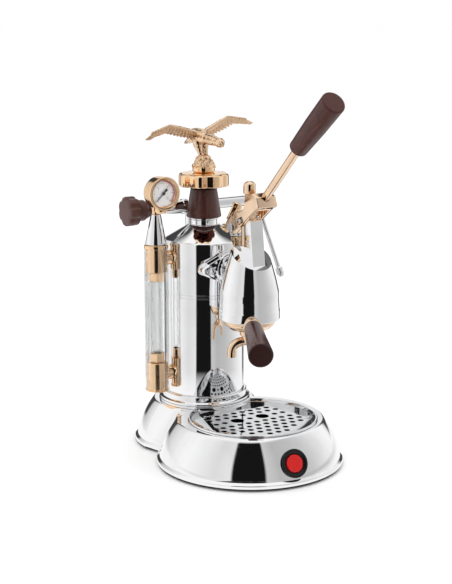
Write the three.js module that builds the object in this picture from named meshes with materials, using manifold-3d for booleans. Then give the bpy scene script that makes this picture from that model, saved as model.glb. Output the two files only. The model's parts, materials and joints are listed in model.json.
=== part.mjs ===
// Lever espresso machine: a steel base with a lift-out drip tray, a pressure boiler with a sight glass,
// gauge, steam tap and safety valve, and a piston group that a fork lever works by hand.
// Millimetres, +Z up, the front faces -Y, and the boiler axis is the Z axis while the pieces are laid out.
import * as THREE from 'three';
import { mergeVertices } from 'three/addons/utils/BufferGeometryUtils.js';
import Module from 'manifold-3d';

const wasm = await Module();
wasm.setup();

// Fits and cuts that all the pieces share
const gap = 0.3;
const overrun = 2;
const weld = 0.0001;
const facets = { large: 32, medium: 20, small: 10, tiny: 6, hex: 6, arc: 1 };

const base = {
  bottom: 3.2, lip: 3.4, flare: 2.4, top: 49.6, crease: 1.2, wall: 1.8,
  lobeRadius: 98, lobeForward: 94, rearRadius: 76,
  taper: 22, taperHeight: 53, creaseInset: 20,
  waistHalf: 69.7, waistForward: 22, throatHalf: 50, throatForward: 60,
  pedestalRadius: 50.9, pedestalTop: 51, pedestalEdge: 0.9, wellRadius: 30,
  wallSteps: 3,
};
const pan = { bottom: 1.6, thickness: 1.3, setback: 0.9 };
const foot = {
  padRadius: 9, stemRadius: 4, headRadius: 6, headHeight: 2.6, round: 0.5,
  frontInset: 38, frontSetback: 42, rearInset: 30, rearSetback: 40,
};
const tray = {
  rimInset: 31.2, shift: 5.5, collarGap: 3.6,
  bead: 1.2, beadHeight: 1.8, wall: 1, ledge: 1.4, floor: 20, floorSetback: 3, corner: 3,
  outerSteps: 26, innerSteps: 6,
};
const grille = {
  top: 47.6, thickness: 1.1, play: 0.4,
  holeRadius: 3.25, pitch: 10.6, rowPitch: 10.25,
  fingerRadius: 7.2, fingerRowGap: 13.8, fingerSetback: 5.3, fingerShares: [-1.5, 1.5],
};
const grilleRows = { '-2': 8, '-1': 9, 0: 9, 1: 9, 2: 10, 3: 9, 4: 6, 5: 3 };
const power = {
  height: 25, across: -6.2, bezelRadius: 15, bezelProud: 2.2, bezelRound: 1.4, barrelRadius: 12,
  boreRadius: 10, barrelDepth: 13, floorThickness: 2,
  lensRadius: 9.4, lensProud: 3.4, lensRound: 1.6, lensDepth: 3,
};
const gland = {
  height: 22, radius: 6.5, flangeRadius: 9, flangeThickness: 2.4, bore: 3.6, depth: 9, round: 1,
};

const boiler = {
  bottom: 51.3, radius: 44.1, wall: 2, floor: 2.2, bottomRound: 1.5,
  grooveHeights: [169.9, 173.3], grooveWidth: 1.3, grooveDepth: 0.6,
  shoulder: 230.5, shoulderRound: 3, coneTop: 246.5, coneRadius: 17,
  neckRadius: 14.7, neckTop: 252, neckBore: 11.6,
  flangeNeckRadius: 18, flangeFace: 46.7, flangeThickness: 4,
};
const collar = { radius: 50.5, rim: 2.4, top: 61, topRadius: 47.4, round: 1.2 };
const element = {
  flangeRadius: 22, flangeThickness: 3, plugRadius: 13.7, plugTop: 57,
  tubeRadius: 3.2, legSpread: 7.5, loopTop: 118, loopSteps: 12, terminalRadius: 1.8, terminalDrop: 8,
};

const cap = {
  plugBottom: 238, plugRadius: 11.2, plugFlangeRadius: 15.4, plugFlange: 1.6, studRadius: 4,
  coneBottomRadius: 19.5, coneTopRadius: 14.3, coneHeight: 32, coneRound: 1.6,
  waistRadius: 12, waistHeight: 1.7,
  coverRadius: 27.7, coverHeight: 15, lobeCount: 8, lobeDepth: 2.2, coverRound: 1.5, coverSteps: 40,
  bossRadius: 12.2, bossHeight: 9.2, bossRound: 2.6,
};
const eagle = {
  perchRadius: 9.4, perchHeight: 8.5, perchTopRadius: 4.6, perchRound: 1, perchSwell: 1.6,
  legRadius: 1.7, legSpread: 3.2, legSeat: 1,
  bodyRise: 29, bodyBack: 7.5, bodyLength: 21, bodyWidth: 8.4,
  neckRadius: 4.6, headForward: 33, headRise: 25.5, headRadius: 4.7, headHalf: 5.9,
  beakLength: 7, beakRootRadius: 3.2, beakRadius: 2.3, beakCurve: 4.8, beakDrop: 4,
  tailBack: 39, tailRise: 17.5, tailHalf: 8.5, tailThickness: 2.4,
  rootRise: 33.5, wingBack: 5, wingThickness: 2.6, bankAngle: 4.5,
  rootHalf: 3, crestOut: 37, crestRise: 13.5, tipOut: 70, tipRise: 0.5,
  shoulderOut: 15, shoulderRise: 5.5,
  outerOut: 57, outerRise: 7.5, trailOut: 10, trailDrop: 12, featherCount: 9, featherDepth: 3.2, sweepDrop: 3.5,
};
// Where the neck's and the tail's middles lie between body and end, and the share of the run that the tail fills
const eagleShares = { neckMiddle: 0.55, tailMiddle: 0.62, tailFill: 0.46 };

const sight = {
  across: 60.5, blockRadius: 11.4, flangeRadius: 13.3, flangeHeight: 2,
  bottomBlock: 68, bottomBlockHeight: 30, topBlock: 199, topBlockHeight: 26,
  ringRadius: 13, ringHeight: 4, ringRound: 1.2,
  nutRadius: 9, nutHeight: 10.2, glassRadius: 6.4, glassWall: 1.7, glassSeat: 4,
  armRadius: 8, armRise: 14, lowArmRise: 16, passage: 2.6,
  sleeveRadius: 13.3, sleeveWall: 1, slotHalf: 8.8,
};
const gaugeCone = { bottomRadius: 11.9, topRadius: 5.5, height: 32.7, round: 0.8, bore: 2.5 };
const gauge = {
  rise: 24.5, front: 21.5, caseRadius: 18.2, depth: 19.5, backRadius: 12.5, backRound: 4, rimRound: 1.4,
  lipWidth: 2.6, lipDepth: 1, boreRadius: 15.7, boreDepth: 6.4,
  glassThickness: 1.2, dialThickness: 0.8,
  needleDepth: 3.5, needleThickness: 0.6, needleHub: 1.9, needleLength: 11.5, needleTail: 6, needleHalf: 0.7,
  tailHalf: 1.3, pinRadius: 0.8, needleRest: 135,
  neckRadius: 7.4, neckLength: 5, stemRadius: 5,
};

const tap = {
  back: 28, rise: 32, tubeRadius: 6, tubeEnd: 76, tubeBore: 3,
  bonnetRoot: -6, bonnetRadius: 9, bonnetEnd: -34, bonnetEndRadius: 6.2, bonnetRound: 1.2,
  stubRadius: 6.5, spindleRadius: 3.4, spindleDepth: 14,
  hubStart: -54.4, hubEnd: -68, hubRadius: 11.6, hubNeckRadius: 8.4, hubRound: 2,
  knobStart: -70, knobThickness: 13.5, knobRadius: 16.4, lobeCount: 7, knobLobeDepth: 1.6, knobRound: 2.4,
  knobSteps: 35,
};
const wand = {
  nutRadius: 9.2, nutLength: 7.1, nutRound: 0.8, socketRadius: 7.2, socketDepth: 3.3, ballRadius: 6.5,
  pipeRadius: 2.4, pipeLength: 88, leanForward: 42, leanOut: 9, drop: 87.5,
  tipRadius: 4.1, tipLength: 11, tipBore: 6, tipRound: 1.8, nozzle: 1.1,
};
const valve = {
  radiusOut: 30, baseRadius: 6.6, baseHeight: 4, stemRadius: 3.6, stemHeight: 5, bodyRadius: 5.2, bodyLength: 15,
  capRadius: 5.9, capLength: 6, capRound: 2.8, spigotRadius: 2.4, spigotHeight: 3, leanAngle: 30,
};

// Heights in the tables from group to spout are measured from the group's lower rim
const group = {
  forward: 92, rim: 158, rimRadius: 32.5, rimRound: 2.4, skirtTop: 10,
  waistRadius: 31.4, waistLow: 22, waistHigh: 30,
  shoulderRadius: 28.5, shoulderHeight: 43, throatRadius: 25.5, throatHeight: 54, crownRadius: 19, crownHeight: 76,
  bore: 22, boreTop: 56.5, gasketSeat: 14, channel: 28, lipBore: 25.8, lipThickness: 2.2,
  floorFront: 111, floorFrontHeight: 59, floorRear: 82, floorRearHeight: 75,
  tongueHalf: 7.5, tongueTop: 107, tongueRound: 2.5,
  tongueFrontTop: 104.8, tongueFrontMiddle: 107.9, tongueMiddleHeight: 82,
  tongueRootHeight: 57, rodBore: 5.3, slotHalf: 4, slotFloor: 77.6,
  axisHeight: 47, neckRadius: 17, neckWaist: 15.6, neckFlare: 18.5, passage: 3.5,
};
const flange = {
  face: 47, thickness: 8, half: 43, rise: 18.7, tipRound: 6, crownRound: 13, rim: 2.4, tipRim: 4.8, pocket: 4.2,
  nutAcross: 24, nutRadius: 4.4, nutHeight: 3, domeRadius: 3.8, domeHeight: 2.6, studRadius: 2.2, studDepth: 7.5,
};
const lever = {
  pivotForward: 74, pivotHeight: 96, pivotRadius: 3.5, earRadius: 8.4, headRadius: 5, headThickness: 1.3,
  earHeel: 2.5, earToe: 1.7, earBack: 5,
  plateInner: 8, plateOuter: 12, restAngle: 27, slotHalf: 3.4, slotNear: 14.8, slotFar: 27.2,
  pinRadius: 2.5, pinProud: 0.8,
  crossRear: 110, cornerRound: 2.2, reliefForward: 117, reliefRearHeight: 121.2, reliefFrontHeight: 119,
  lowForward: 119.4, lowHeight: 120.3, frontForward: 127, frontHeight: 123.2,
  browForward: 122.7, browHeight: 133.3, topForward: 115, topHeight: 136.7,
  rearForward: 102, rearHeight: 134.8, notchForward: 98, notchHeight: 118.4, backForward: 83.4, backHeight: 113.5,
  rodRadius: 4.4, rodStartForward: 112, rodStartHeight: 123, rodEndForward: 178.8, rodEndHeight: 188.2,
  rodSeat: 22,
  handleEndForward: 237, handleEndHeight: 238.2, handleStartRadius: 9.6, handleEndRadius: 12.8,
  handleRound: 1.6, handleSwell: 11.6, swellReach: 38.4,
};
const piston = {
  rodRadius: 5, rodBottom: 44.3, headBottom: 133, headRadius: 6.65, headTop: 146.5, headRound: 2.6,
  crown: 40, height: 10, radius: 21.2,
  grooveRadius: 18, grooveBottom: 43, grooveHeight: 4, sealRadius: 21.7,
};
const gasket = { radius: 27.3, bore: 22.8, thickness: 3.8 };
const screen = {
  radius: 22.4, thickness: 1, rimHeight: 3, rimWall: 1, holeRadius: 1.1,
  ringPitch: 10, ringCount: 1, ringHoleCount: 6,
};

const portafilter = {
  turnAngle: 27, drop: 11, radius: 27, bottomRound: 6, shoulderDrop: 0.3, neckRadius: 25, top: 8.8,
  bore: 22.9, floor: 3, drain: 4, bossRadius: 10, bossDrop: 18.4, bossBore: 5, bossRound: 1, root: 1,
  lugRadius: 27.3, lugBottom: 2.6, lugHeight: 3.6, lugHalf: 8, lugAngle: 45,
  armHalf: 5, armBottomDrop: 9.5, armTopDrop: 0.6, armEnd: 32.6, padRadius: 8, padThickness: 1.2,
  shankRadius: 4, shankLength: 26,
  handleStart: 34, handleStartDrop: 1.5, handleEnd: 112, handleEndDrop: 12,
  ferruleLength: 5.4, ferruleRadius: 10, ferruleRound: 1.2,
  handleRadius: 9.5, handleEndRadius: 12.9, handleRound: 1.6, handleWaistRadius: 10.6, waistReach: 35.4,
};
const basket = { radius: 22.5, rimRadius: 24.6, rimThickness: 0.9, wall: 0.9, drop: 6.5, round: 2 };
const spout = {
  hubRadius: 7.2, hubRound: 1, tubeRadius: 5, tubeWall: 1.4, outletAcross: 18.5, outletDrop: 42,
  bend: 13, crestDrop: 24.5, steps: 12, threadRadius: 4.6, threadHeight: 5,
};

const finishes = {
  chrome: { color: '#d7d9dc', roughness: 0.08, metalness: 1 },
  brass: { color: '#e0a878', roughness: 0.15, metalness: 1 },
  steel: { color: '#b9bcc0', roughness: 0.3, metalness: 1 },
  wood: { color: '#4a2019', roughness: 0.35, metalness: 0 },
  bakelite: { color: '#2b1a17', roughness: 0.35, metalness: 0 },
  rubber: { color: '#161616', roughness: 0.8, metalness: 0 },
  dial: { color: '#f2f1ee', roughness: 0.5, metalness: 0 },
  needle: { color: '#1c1c1e', roughness: 0.4, metalness: 0 },
  glass: { color: '#e9f1f2', roughness: 0.05, metalness: 0 },
  lens: { color: '#b01818', roughness: 0.2, metalness: 0 },
};

const machine = new THREE.Group();
const up = new THREE.Vector3(0, 0, 1);
const radians = THREE.MathUtils.degToRad;
const at = (x, y, z) => new THREE.Vector3(x, y, z);

// A closed mesh made into a solid that can be joined and cut
function solidOf(geometry) {
  const bare = new THREE.BufferGeometry();
  bare.setAttribute('position', geometry.getAttribute('position').clone());
  if (geometry.index) bare.setIndex(geometry.index.clone());
  const merged = mergeVertices(bare, weld);
  const points = merged.getAttribute('position').array;
  const corners = merged.index.array;
  const triangles = [];
  let volume = 0;
  for (let i = 0; i < corners.length; i += 3) {
    const [a, b, c] = [corners[i], corners[i + 1], corners[i + 2]];
    if (a === b || b === c || c === a) continue;
    triangles.push(a, b, c);
    const [p, q, r] = [a, b, c].map((k) => new THREE.Vector3().fromArray(points, 3 * k));
    volume += p.dot(q.cross(r));
  }
  if (volume < 0) triangles.reverse();
  return new wasm.Manifold(new wasm.Mesh({
    numProp: 3,
    vertProperties: new Float32Array(points),
    triVerts: new Uint32Array(triangles),
  }));
}

function geometryOf(solid) {
  const { vertProperties, triVerts } = solid.getMesh();
  const geometry = new THREE.BufferGeometry();
  geometry.setAttribute('position', new THREE.Float32BufferAttribute(vertProperties, 3));
  geometry.setIndex(Array.from(triVerts));
  geometry.computeVertexNormals();
  return geometry;
}

function addPiece(name, finish, solid) {
  const material = new THREE.MeshStandardMaterial(finishes[finish]);
  const mesh = new THREE.Mesh(geometryOf(solid), material);
  mesh.name = name;
  machine.add(mesh);
  return mesh;
}

// A piece laid out from the group's lower rim is lifted to it
const addAtRim = (name, finish, solid) => addPiece(name, finish, solid.translate([0, 0, group.rim]));

const joined = (...solids) => solids.reduce((whole, next) => whole.add(next));
const cutBy = (body, ...cutters) => cutters.reduce((whole, next) => whole.subtract(next), body);

// Corners [x, y, fillet radius] become a point list whose fillets are arcs
function rounded(corners, closed = false) {
  const points = [];
  corners.forEach(([x, y, radius = 0], i) => {
    const here = new THREE.Vector2(x, y);
    const inside = closed || (i > 0 && i < corners.length - 1);
    if (!radius || !inside) {
      points.push(here);
      return;
    }
    const before = corners[(i + corners.length - 1) % corners.length];
    const after = corners[(i + 1) % corners.length];
    const back = new THREE.Vector2(before[0], before[1]).sub(here);
    const ahead = new THREE.Vector2(after[0], after[1]).sub(here);
    const half = back.angleTo(ahead) / 2;
    const reach = Math.min(radius / Math.tan(half), back.length() / 2, ahead.length() / 2);
    const start = here.clone().addScaledVector(back.normalize(), reach);
    const end = here.clone().addScaledVector(ahead.normalize(), reach);
    const middle = back.add(ahead).normalize();
    const centre = here.clone().addScaledVector(middle, reach / Math.cos(half));
    const from = start.clone().sub(centre);
    const sweep = from.angle();
    let turn = end.clone().sub(centre).angle() - sweep;
    if (turn > Math.PI) turn -= 2 * Math.PI;
    if (turn < -Math.PI) turn += 2 * Math.PI;
    for (let k = 0; k <= facets.arc; k += 1) {
      const angle = sweep + (turn * k) / facets.arc;
      const length = from.length();
      const spoke = new THREE.Vector2(length * Math.cos(angle), length * Math.sin(angle));
      points.push(spoke.add(centre));
    }
  });
  return points;
}

// A profile [radius, height, fillet] turned about Z; a ring profile closes on itself
function turned(corners, sides = facets.medium, ring = false) {
  const points = rounded(corners, ring);
  if (ring) points.push(points[0].clone());
  const geometry = new THREE.LatheGeometry(points, sides);
  return geometry.rotateX(Math.PI / 2);
}

const ringTurned = (corners, sides = facets.medium) => turned(corners, sides, true);

function aimed(geometry, from, direction) {
  const turn = new THREE.Quaternion().setFromUnitVectors(up, direction.clone().normalize());
  return geometry.applyQuaternion(turn).translate(from.x, from.y, from.z);
}

function bar(from, to, radius, sides = facets.small) {
  const run = to.clone().sub(from);
  const profile = [[0, 0], [radius, 0], [radius, run.length()], [0, run.length()]];
  return solidOf(aimed(turned(profile, sides), from, run));
}

// A hexagonal nut with a round bore, standing on z = 0
function hexNut(radius, bore, height) {
  const outer = bar(at(0, 0, 0), at(0, 0, height), radius, facets.hex);
  return outer.subtract(bar(at(0, 0, -overrun), at(0, 0, height + overrun), bore, facets.small));
}

function block(from, to) {
  const size = to.clone().sub(from);
  const geometry = new THREE.BoxGeometry(size.x, size.y, size.z);
  return geometry.translate(from.x + size.x / 2, from.y + size.y / 2, from.z + size.z / 2);
}

// An outline [across, height, fillet] extruded by depth towards +Z of its own plane
function extruded(corners, depth) {
  const shape = new THREE.Shape(rounded(corners, true));
  return new THREE.ExtrudeGeometry(shape, { depth, bevelEnabled: false });
}

// A side view [forward, height, fillet] made into a plate that spans -half to half across X
function sidePlate(corners, half) {
  const geometry = extruded(corners.map(([forward, height, fillet]) => [-forward, height, fillet]), 2 * half);
  geometry.applyMatrix4(new THREE.Matrix4().makeBasis(at(0, 1, 0), at(0, 0, 1), at(1, 0, 0)));
  return solidOf(geometry.translate(-half, 0, 0));
}

// A front view [across, height, fillet] made into a plate that reaches from y = front back by depth
function frontPlate(corners, front, depth) {
  const geometry = extruded(corners, depth);
  geometry.applyMatrix4(new THREE.Matrix4().makeBasis(at(1, 0, 0), at(0, 0, 1), at(0, -1, 0)));
  return solidOf(geometry.translate(0, front + depth, 0));
}

// A tube of one radius swept along a curve
function swept(curve, radius, steps, sides = facets.tiny) {
  const circle = new THREE.Shape();
  circle.absarc(0, 0, radius, 0, 2 * Math.PI);
  const shape = new THREE.Shape(circle.getSpacedPoints(sides).slice(0, sides));
  return solidOf(new THREE.ExtrudeGeometry(shape, { steps, extrudePath: curve, bevelEnabled: false }));
}

// Rings of equal point counts, skinned in order and closed flat at both ends
function lofted(rings) {
  const count = rings[0].length;
  const clockwise = THREE.ShapeUtils.isClockWise(rings[0]);
  const ordered = clockwise ? rings.map((ring) => ring.slice().reverse()) : rings;
  const positions = ordered.flatMap((ring) => ring.flatMap((point) => [point.x, point.y, point.z]));
  const index = [];
  for (let i = 0; i < ordered.length - 1; i += 1) {
    for (let k = 0; k < count; k += 1) {
      const [a, b] = [i * count + k, i * count + ((k + 1) % count)];
      index.push(a, b, b + count, a, b + count, a + count);
    }
  }
  [0, ordered.length - 1].forEach((i) => {
    THREE.ShapeUtils.triangulateShape(ordered[i], []).forEach((face) => {
      const [a, b, c] = face.map((k) => ordered[i][k]);
      const rising = (b.x - a.x) * (c.y - a.y) - (b.y - a.y) * (c.x - a.x) > 0;
      const corners = rising === (i > 0) ? face : face.slice().reverse();
      index.push(...corners.map((k) => k + i * count));
    });
  });
  const geometry = new THREE.BufferGeometry();
  geometry.setAttribute('position', new THREE.Float32BufferAttribute(positions, 3));
  geometry.setIndex(index);
  return solidOf(geometry);
}

// A lobed disc about Z from a profile [inset, height]
function lobed(radius, lobes, depth, profile, steps) {
  return lofted(profile.map(([inset, height]) => {
    const ring = [];
    for (let k = 0; k < steps; k += 1) {
      const angle = (2 * Math.PI * k) / steps;
      const reach = radius - inset - depth * Math.sin((lobes * angle) / 2) ** 4;
      ring.push(at(reach * Math.cos(angle), reach * Math.sin(angle), height));
    }
    return ring;
  }));
}

// How far the base wall leans in at a height
const wallInset = (height) => base.taper * (height / base.taperHeight) ** 2;
const lobeCentre = at(0, -base.lobeForward, 0);

// One height per wall step, from the lip up to the crease
function wallHeights(from, to) {
  const heights = [];
  for (let k = 0; k <= base.wallSteps; k += 1) heights.push(from + ((to - from) * k) / base.wallSteps);
  return heights;
}

// The outline of the rear lobe and its waist, drawn in by an inset
function rearOutline(inset, height) {
  const ring = [];
  const reach = base.rearRadius - inset;
  const half = facets.large / 2;
  for (let k = 0; k <= half; k += 1) {
    const angle = (Math.PI * k) / half;
    ring.push(at(reach * Math.cos(angle), reach * Math.sin(angle), height));
  }
  ring.push(at(inset - base.waistHalf, -base.waistForward, height));
  ring.push(at(inset - base.throatHalf, -base.throatForward, height));
  ring.push(at(base.throatHalf - inset, -base.throatForward, height));
  ring.push(at(base.waistHalf - inset, -base.waistForward, height));
  return ring;
}

// The tray's inner and outer faces, as insets of the grille's outline
const trayWell = -grille.play;
const trayOuter = trayWell - tray.wall;
const trayForward = base.lobeForward + tray.shift;

// The tray outline: a large circle with the boiler's circle bitten out of it
function trayOutline(inset, height) {
  const outer = base.lobeRadius - tray.rimInset - inset;
  const inner = base.pedestalRadius + tray.collarGap + inset;
  const meetY = (outer ** 2 - inner ** 2 - trayForward ** 2) / (2 * trayForward);
  const meetX = Math.sqrt(inner ** 2 - meetY ** 2);
  const outerStart = Math.atan2(meetY + trayForward, meetX);
  const innerEnd = Math.atan2(meetY, meetX);
  const ring = [];
  for (let k = 0; k <= tray.outerSteps; k += 1) {
    const angle = outerStart - ((Math.PI + 2 * outerStart) * k) / tray.outerSteps;
    ring.push(at(outer * Math.cos(angle), outer * Math.sin(angle) - trayForward, height));
  }
  for (let k = 1; k < tray.innerSteps; k += 1) {
    const angle = -Math.PI - innerEnd + ((Math.PI + 2 * innerEnd) * k) / tray.innerSteps;
    ring.push(at(inner * Math.cos(angle), inner * Math.sin(angle), height));
  }
  return ring;
}

// A point of the base wall and its outward direction, at a bearing about a lobe centre
function wallSpot(centre, radius, height, bearing) {
  const reach = radius - wallInset(height);
  const lean = Math.atan((2 * base.taper * height) / base.taperHeight ** 2);
  const out = at(Math.cos(bearing), Math.sin(bearing), 0);
  const spot = centre.clone().addScaledVector(out, reach).setZ(height);
  const normal = out.multiplyScalar(Math.cos(lean)).setZ(Math.sin(lean));
  return { spot, normal };
}

const switchPlace = wallSpot(
  lobeCentre,
  base.lobeRadius,
  power.height,
  -Math.PI / 2 + Math.asin(power.across / (base.lobeRadius - wallInset(power.height))),
);
const glandPlace = wallSpot(at(0, 0, 0), base.rearRadius, gland.height, Math.PI / 2);

function buildBase() {
  const lipTop = base.bottom + base.lip;
  const outerHeights = wallHeights(lipTop + base.flare, base.top - base.crease);
  const innerTop = base.top - base.wall;
  const innerHeights = wallHeights(lipTop, innerTop - base.crease);
  const lobe = turned([
    [0, base.bottom],
    [base.lobeRadius + base.flare, base.bottom],
    [base.lobeRadius + base.flare, lipTop, base.flare / 2],
    ...outerHeights.map((height) => [base.lobeRadius - wallInset(height), height]),
    [base.lobeRadius - base.creaseInset, base.top],
    [0, base.top],
  ], facets.large).translate(0, lobeCentre.y, 0);
  const lobeHollow = turned([
    [0, base.bottom - overrun],
    [base.lobeRadius - base.wall, base.bottom - overrun],
    ...innerHeights.map((height) => [base.lobeRadius - base.wall - wallInset(height), height]),
    [base.lobeRadius - base.creaseInset - base.wall, innerTop],
    [0, innerTop],
  ], facets.large).translate(0, lobeCentre.y, 0);
  const rear = lofted([
    rearOutline(-base.flare, base.bottom),
    rearOutline(-base.flare, lipTop),
    ...outerHeights.map((height) => rearOutline(wallInset(height), height)),
    rearOutline(wallInset(base.top) + base.crease, base.top),
  ]);
  const rearHollow = lofted([
    rearOutline(base.wall, base.bottom - overrun),
    ...innerHeights.map((height) => rearOutline(base.wall + wallInset(height), height)),
    rearOutline(base.wall + base.crease + wallInset(innerTop), innerTop),
  ]);
  const pedestal = turned([
    [0, innerTop],
    [base.pedestalRadius, innerTop],
    [base.pedestalRadius, base.pedestalTop, base.pedestalEdge],
    [0, base.pedestalTop],
  ], facets.large);
  const wellTop = base.pedestalTop + overrun;
  const well = bar(at(0, 0, innerTop - overrun), at(0, 0, wellTop), base.wellRadius, facets.medium);
  const opening = lofted([
    trayOutline(trayOuter - gap, innerTop - overrun),
    trayOutline(trayOuter - gap, base.top + overrun),
  ]);
  const switchHole = bar(
    switchPlace.spot.clone().addScaledVector(switchPlace.normal, -power.barrelDepth),
    switchPlace.spot.clone().addScaledVector(switchPlace.normal, overrun),
    power.barrelRadius + gap,
    facets.small,
  );
  const glandHole = bar(
    glandPlace.spot.clone().addScaledVector(glandPlace.normal, -gland.depth),
    glandPlace.spot.clone().addScaledVector(glandPlace.normal, overrun),
    gland.radius + gap,
    facets.small,
  );
  const outside = joined(solidOf(lobe), rear, solidOf(pedestal));
  const inside = joined(solidOf(lobeHollow), rearHollow);
  addPiece('base_shell', 'chrome', cutBy(outside, inside, well, opening, switchHole, glandHole));
}

function buildPan() {
  const top = pan.bottom + pan.thickness;
  const reach = base.flare - pan.setback;
  const lobe = turned([
    [0, pan.bottom],
    [base.lobeRadius + reach, pan.bottom],
    [base.lobeRadius + reach, top],
    [0, top],
  ], facets.large).translate(0, lobeCentre.y, 0);
  const rear = lofted([rearOutline(-reach, pan.bottom), rearOutline(-reach, top)]);
  const feet = footPlaces().map((place) => bar(
    place.clone().setZ(pan.bottom - overrun),
    place.clone().setZ(top + overrun),
    foot.stemRadius + gap,
    facets.small,
  ));
  addPiece('base_pan', 'rubber', cutBy(joined(solidOf(lobe), rear), ...feet));
}

function footPlaces() {
  const frontAcross = base.lobeRadius - foot.frontInset;
  const frontForward = base.lobeForward + base.lobeRadius - foot.frontSetback;
  const rearAcross = base.rearRadius - foot.rearInset;
  const rearBack = base.rearRadius - foot.rearSetback;
  return [
    at(-frontAcross, -frontForward, 0),
    at(frontAcross, -frontForward, 0),
    at(-rearAcross, rearBack, 0),
    at(rearAcross, rearBack, 0),
  ];
}

function buildFeet() {
  const panTop = pan.bottom + pan.thickness + gap;
  const names = ['foot_front_left', 'foot_front_right', 'foot_rear_left', 'foot_rear_right'];
  footPlaces().forEach((place, i) => {
    const pad = turned([
      [0, 0],
      [foot.padRadius, 0],
      [foot.padRadius, pan.bottom - gap, foot.round],
      [foot.stemRadius, pan.bottom - gap],
      [foot.stemRadius, panTop],
      [foot.headRadius, panTop, foot.round],
      [foot.stemRadius, panTop + foot.headHeight],
      [0, panTop + foot.headHeight],
    ], facets.small);
    addPiece(names[i], 'rubber', solidOf(pad.translate(place.x, place.y, 0)));
  });
}

function buildTray() {
  const seat = base.top + gap;
  const beadTop = seat + tray.beadHeight;
  const beadMiddle = seat + tray.beadHeight / 2;
  const beadOut = trayOuter - gap - tray.bead;
  const ledge = grille.top - grille.thickness - gap;
  const inner = trayWell + tray.ledge;
  const outer = trayOuter + tray.ledge;
  addPiece('drip_tray', 'chrome', lofted([
    trayOutline(inner + tray.floorSetback, tray.floor + tray.wall),
    trayOutline(inner, tray.floor + tray.wall + tray.corner),
    trayOutline(inner, ledge),
    trayOutline(trayWell, ledge),
    trayOutline(trayWell, beadMiddle),
    trayOutline(trayWell - tray.bead / 2, beadTop),
    trayOutline(beadOut + tray.bead / 2, beadTop),
    trayOutline(beadOut, beadMiddle),
    trayOutline(beadOut, seat),
    trayOutline(trayOuter, seat),
    trayOutline(trayOuter, ledge - tray.wall),
    trayOutline(outer, ledge - tray.wall - tray.ledge),
    trayOutline(outer, tray.floor + tray.corner),
    trayOutline(outer + tray.floorSetback, tray.floor),
  ]));
}

function buildGrille() {
  const bottom = grille.top - grille.thickness;
  const plate = lofted([trayOutline(0, bottom), trayOutline(0, grille.top)]);
  const drill = (x, forward, radius, sides) => bar(
    at(x, -forward, bottom - overrun),
    at(x, -forward, grille.top + overrun),
    radius,
    sides,
  );
  const fingerForward = trayForward - grille.fingerSetback;
  const holes = grille.fingerShares.map((place) => (
    drill(place * grille.pitch, fingerForward, grille.fingerRadius, facets.small)
  ));
  Object.entries(grilleRows).forEach(([row, count]) => {
    const step = Number(row);
    const reach = step === 0 ? 0 : grille.fingerRowGap + (Math.abs(step) - 1) * grille.rowPitch;
    const forward = fingerForward + Math.sign(step) * reach;
    for (let k = 0; k < count; k += 1) {
      const place = k - (count - 1) / 2;
      const taken = step === 0 && grille.fingerShares.some((finger) => Math.abs(place - finger) < 1);
      if (!taken) holes.push(drill(place * grille.pitch, forward, grille.holeRadius, facets.tiny));
    }
  });
  addPiece('drip_grille', 'steel', cutBy(plate, ...holes));
}

function buildSwitch() {
  const { spot, normal } = switchPlace;
  const bezel = ringTurned([
    [0, -power.barrelDepth],
    [power.barrelRadius, -power.barrelDepth],
    [power.barrelRadius, gap],
    [power.bezelRadius, gap],
    [power.bezelRadius, gap + power.bezelProud, power.bezelRound],
    [power.boreRadius, gap + power.bezelProud],
    [power.boreRadius, power.floorThickness - power.barrelDepth],
    [0, power.floorThickness - power.barrelDepth],
  ], facets.small);
  addPiece('switch_bezel', 'rubber', solidOf(aimed(bezel, spot, normal)));
  const lens = turned([
    [0, -power.lensDepth],
    [power.lensRadius, -power.lensDepth],
    [power.lensRadius, power.lensProud, power.lensRound],
    [0, power.lensProud],
  ], facets.small);
  addPiece('switch_button', 'lens', solidOf(aimed(lens, spot, normal)));
}

function buildGland() {
  const bush = ringTurned([
    [gland.bore, -gland.depth],
    [gland.radius, -gland.depth],
    [gland.radius, gap],
    [gland.flangeRadius, gap],
    [gland.flangeRadius, gap + gland.flangeThickness, gland.round],
    [gland.bore, gap + gland.flangeThickness, gland.round],
  ], facets.small);
  addPiece('cord_gland', 'rubber', solidOf(aimed(bush, glandPlace.spot, glandPlace.normal)));
}

// The lozenge that the boiler and the group share as a bolted joint
function lozenge(height, crownInset = 0, tipInset = 0) {
  const half = flange.half - tipInset;
  const rise = flange.rise - crownInset;
  return [
    [-half, height, flange.tipRound - crownInset],
    [0, height - rise, flange.crownRound],
    [half, height, flange.tipRound - crownInset],
    [0, height + rise, flange.crownRound],
  ];
}

const studPlaces = [-flange.nutAcross, flange.nutAcross];
const neckHeight = group.rim + group.axisHeight;

// Heights up the sight glass and the gauge that stands on it, and the tap's above the boiler
const bottomBlockTop = sight.bottomBlock + sight.bottomBlockHeight;
const topBlockTop = sight.topBlock + sight.topBlockHeight;
const armHeight = sight.topBlock + sight.armRise;
const lowArmHeight = sight.bottomBlock + sight.lowArmRise;
const coneFoot = topBlockTop + sight.ringHeight + gap;
const coneTip = coneFoot + gaugeCone.height;
const gaugeHeight = coneTip + gauge.rise;
const tapHeight = boiler.shoulder + tap.rise;

// The boiler's outside, which the collar, the stubs and the valve are fitted to
function boilerProfile(grown) {
  const grooves = boiler.grooveHeights.flatMap((height) => [
    [boiler.radius, height],
    [boiler.radius - boiler.grooveDepth, height + boiler.grooveWidth / 2],
    [boiler.radius, height + boiler.grooveWidth],
  ]);
  return [
    [boiler.radius + grown, boiler.bottom, boiler.bottomRound],
    ...(grown ? [] : grooves),
    [boiler.radius + grown, boiler.shoulder + grown, boiler.shoulderRound],
    [boiler.coneRadius + grown, boiler.coneTop + grown],
  ];
}

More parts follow.
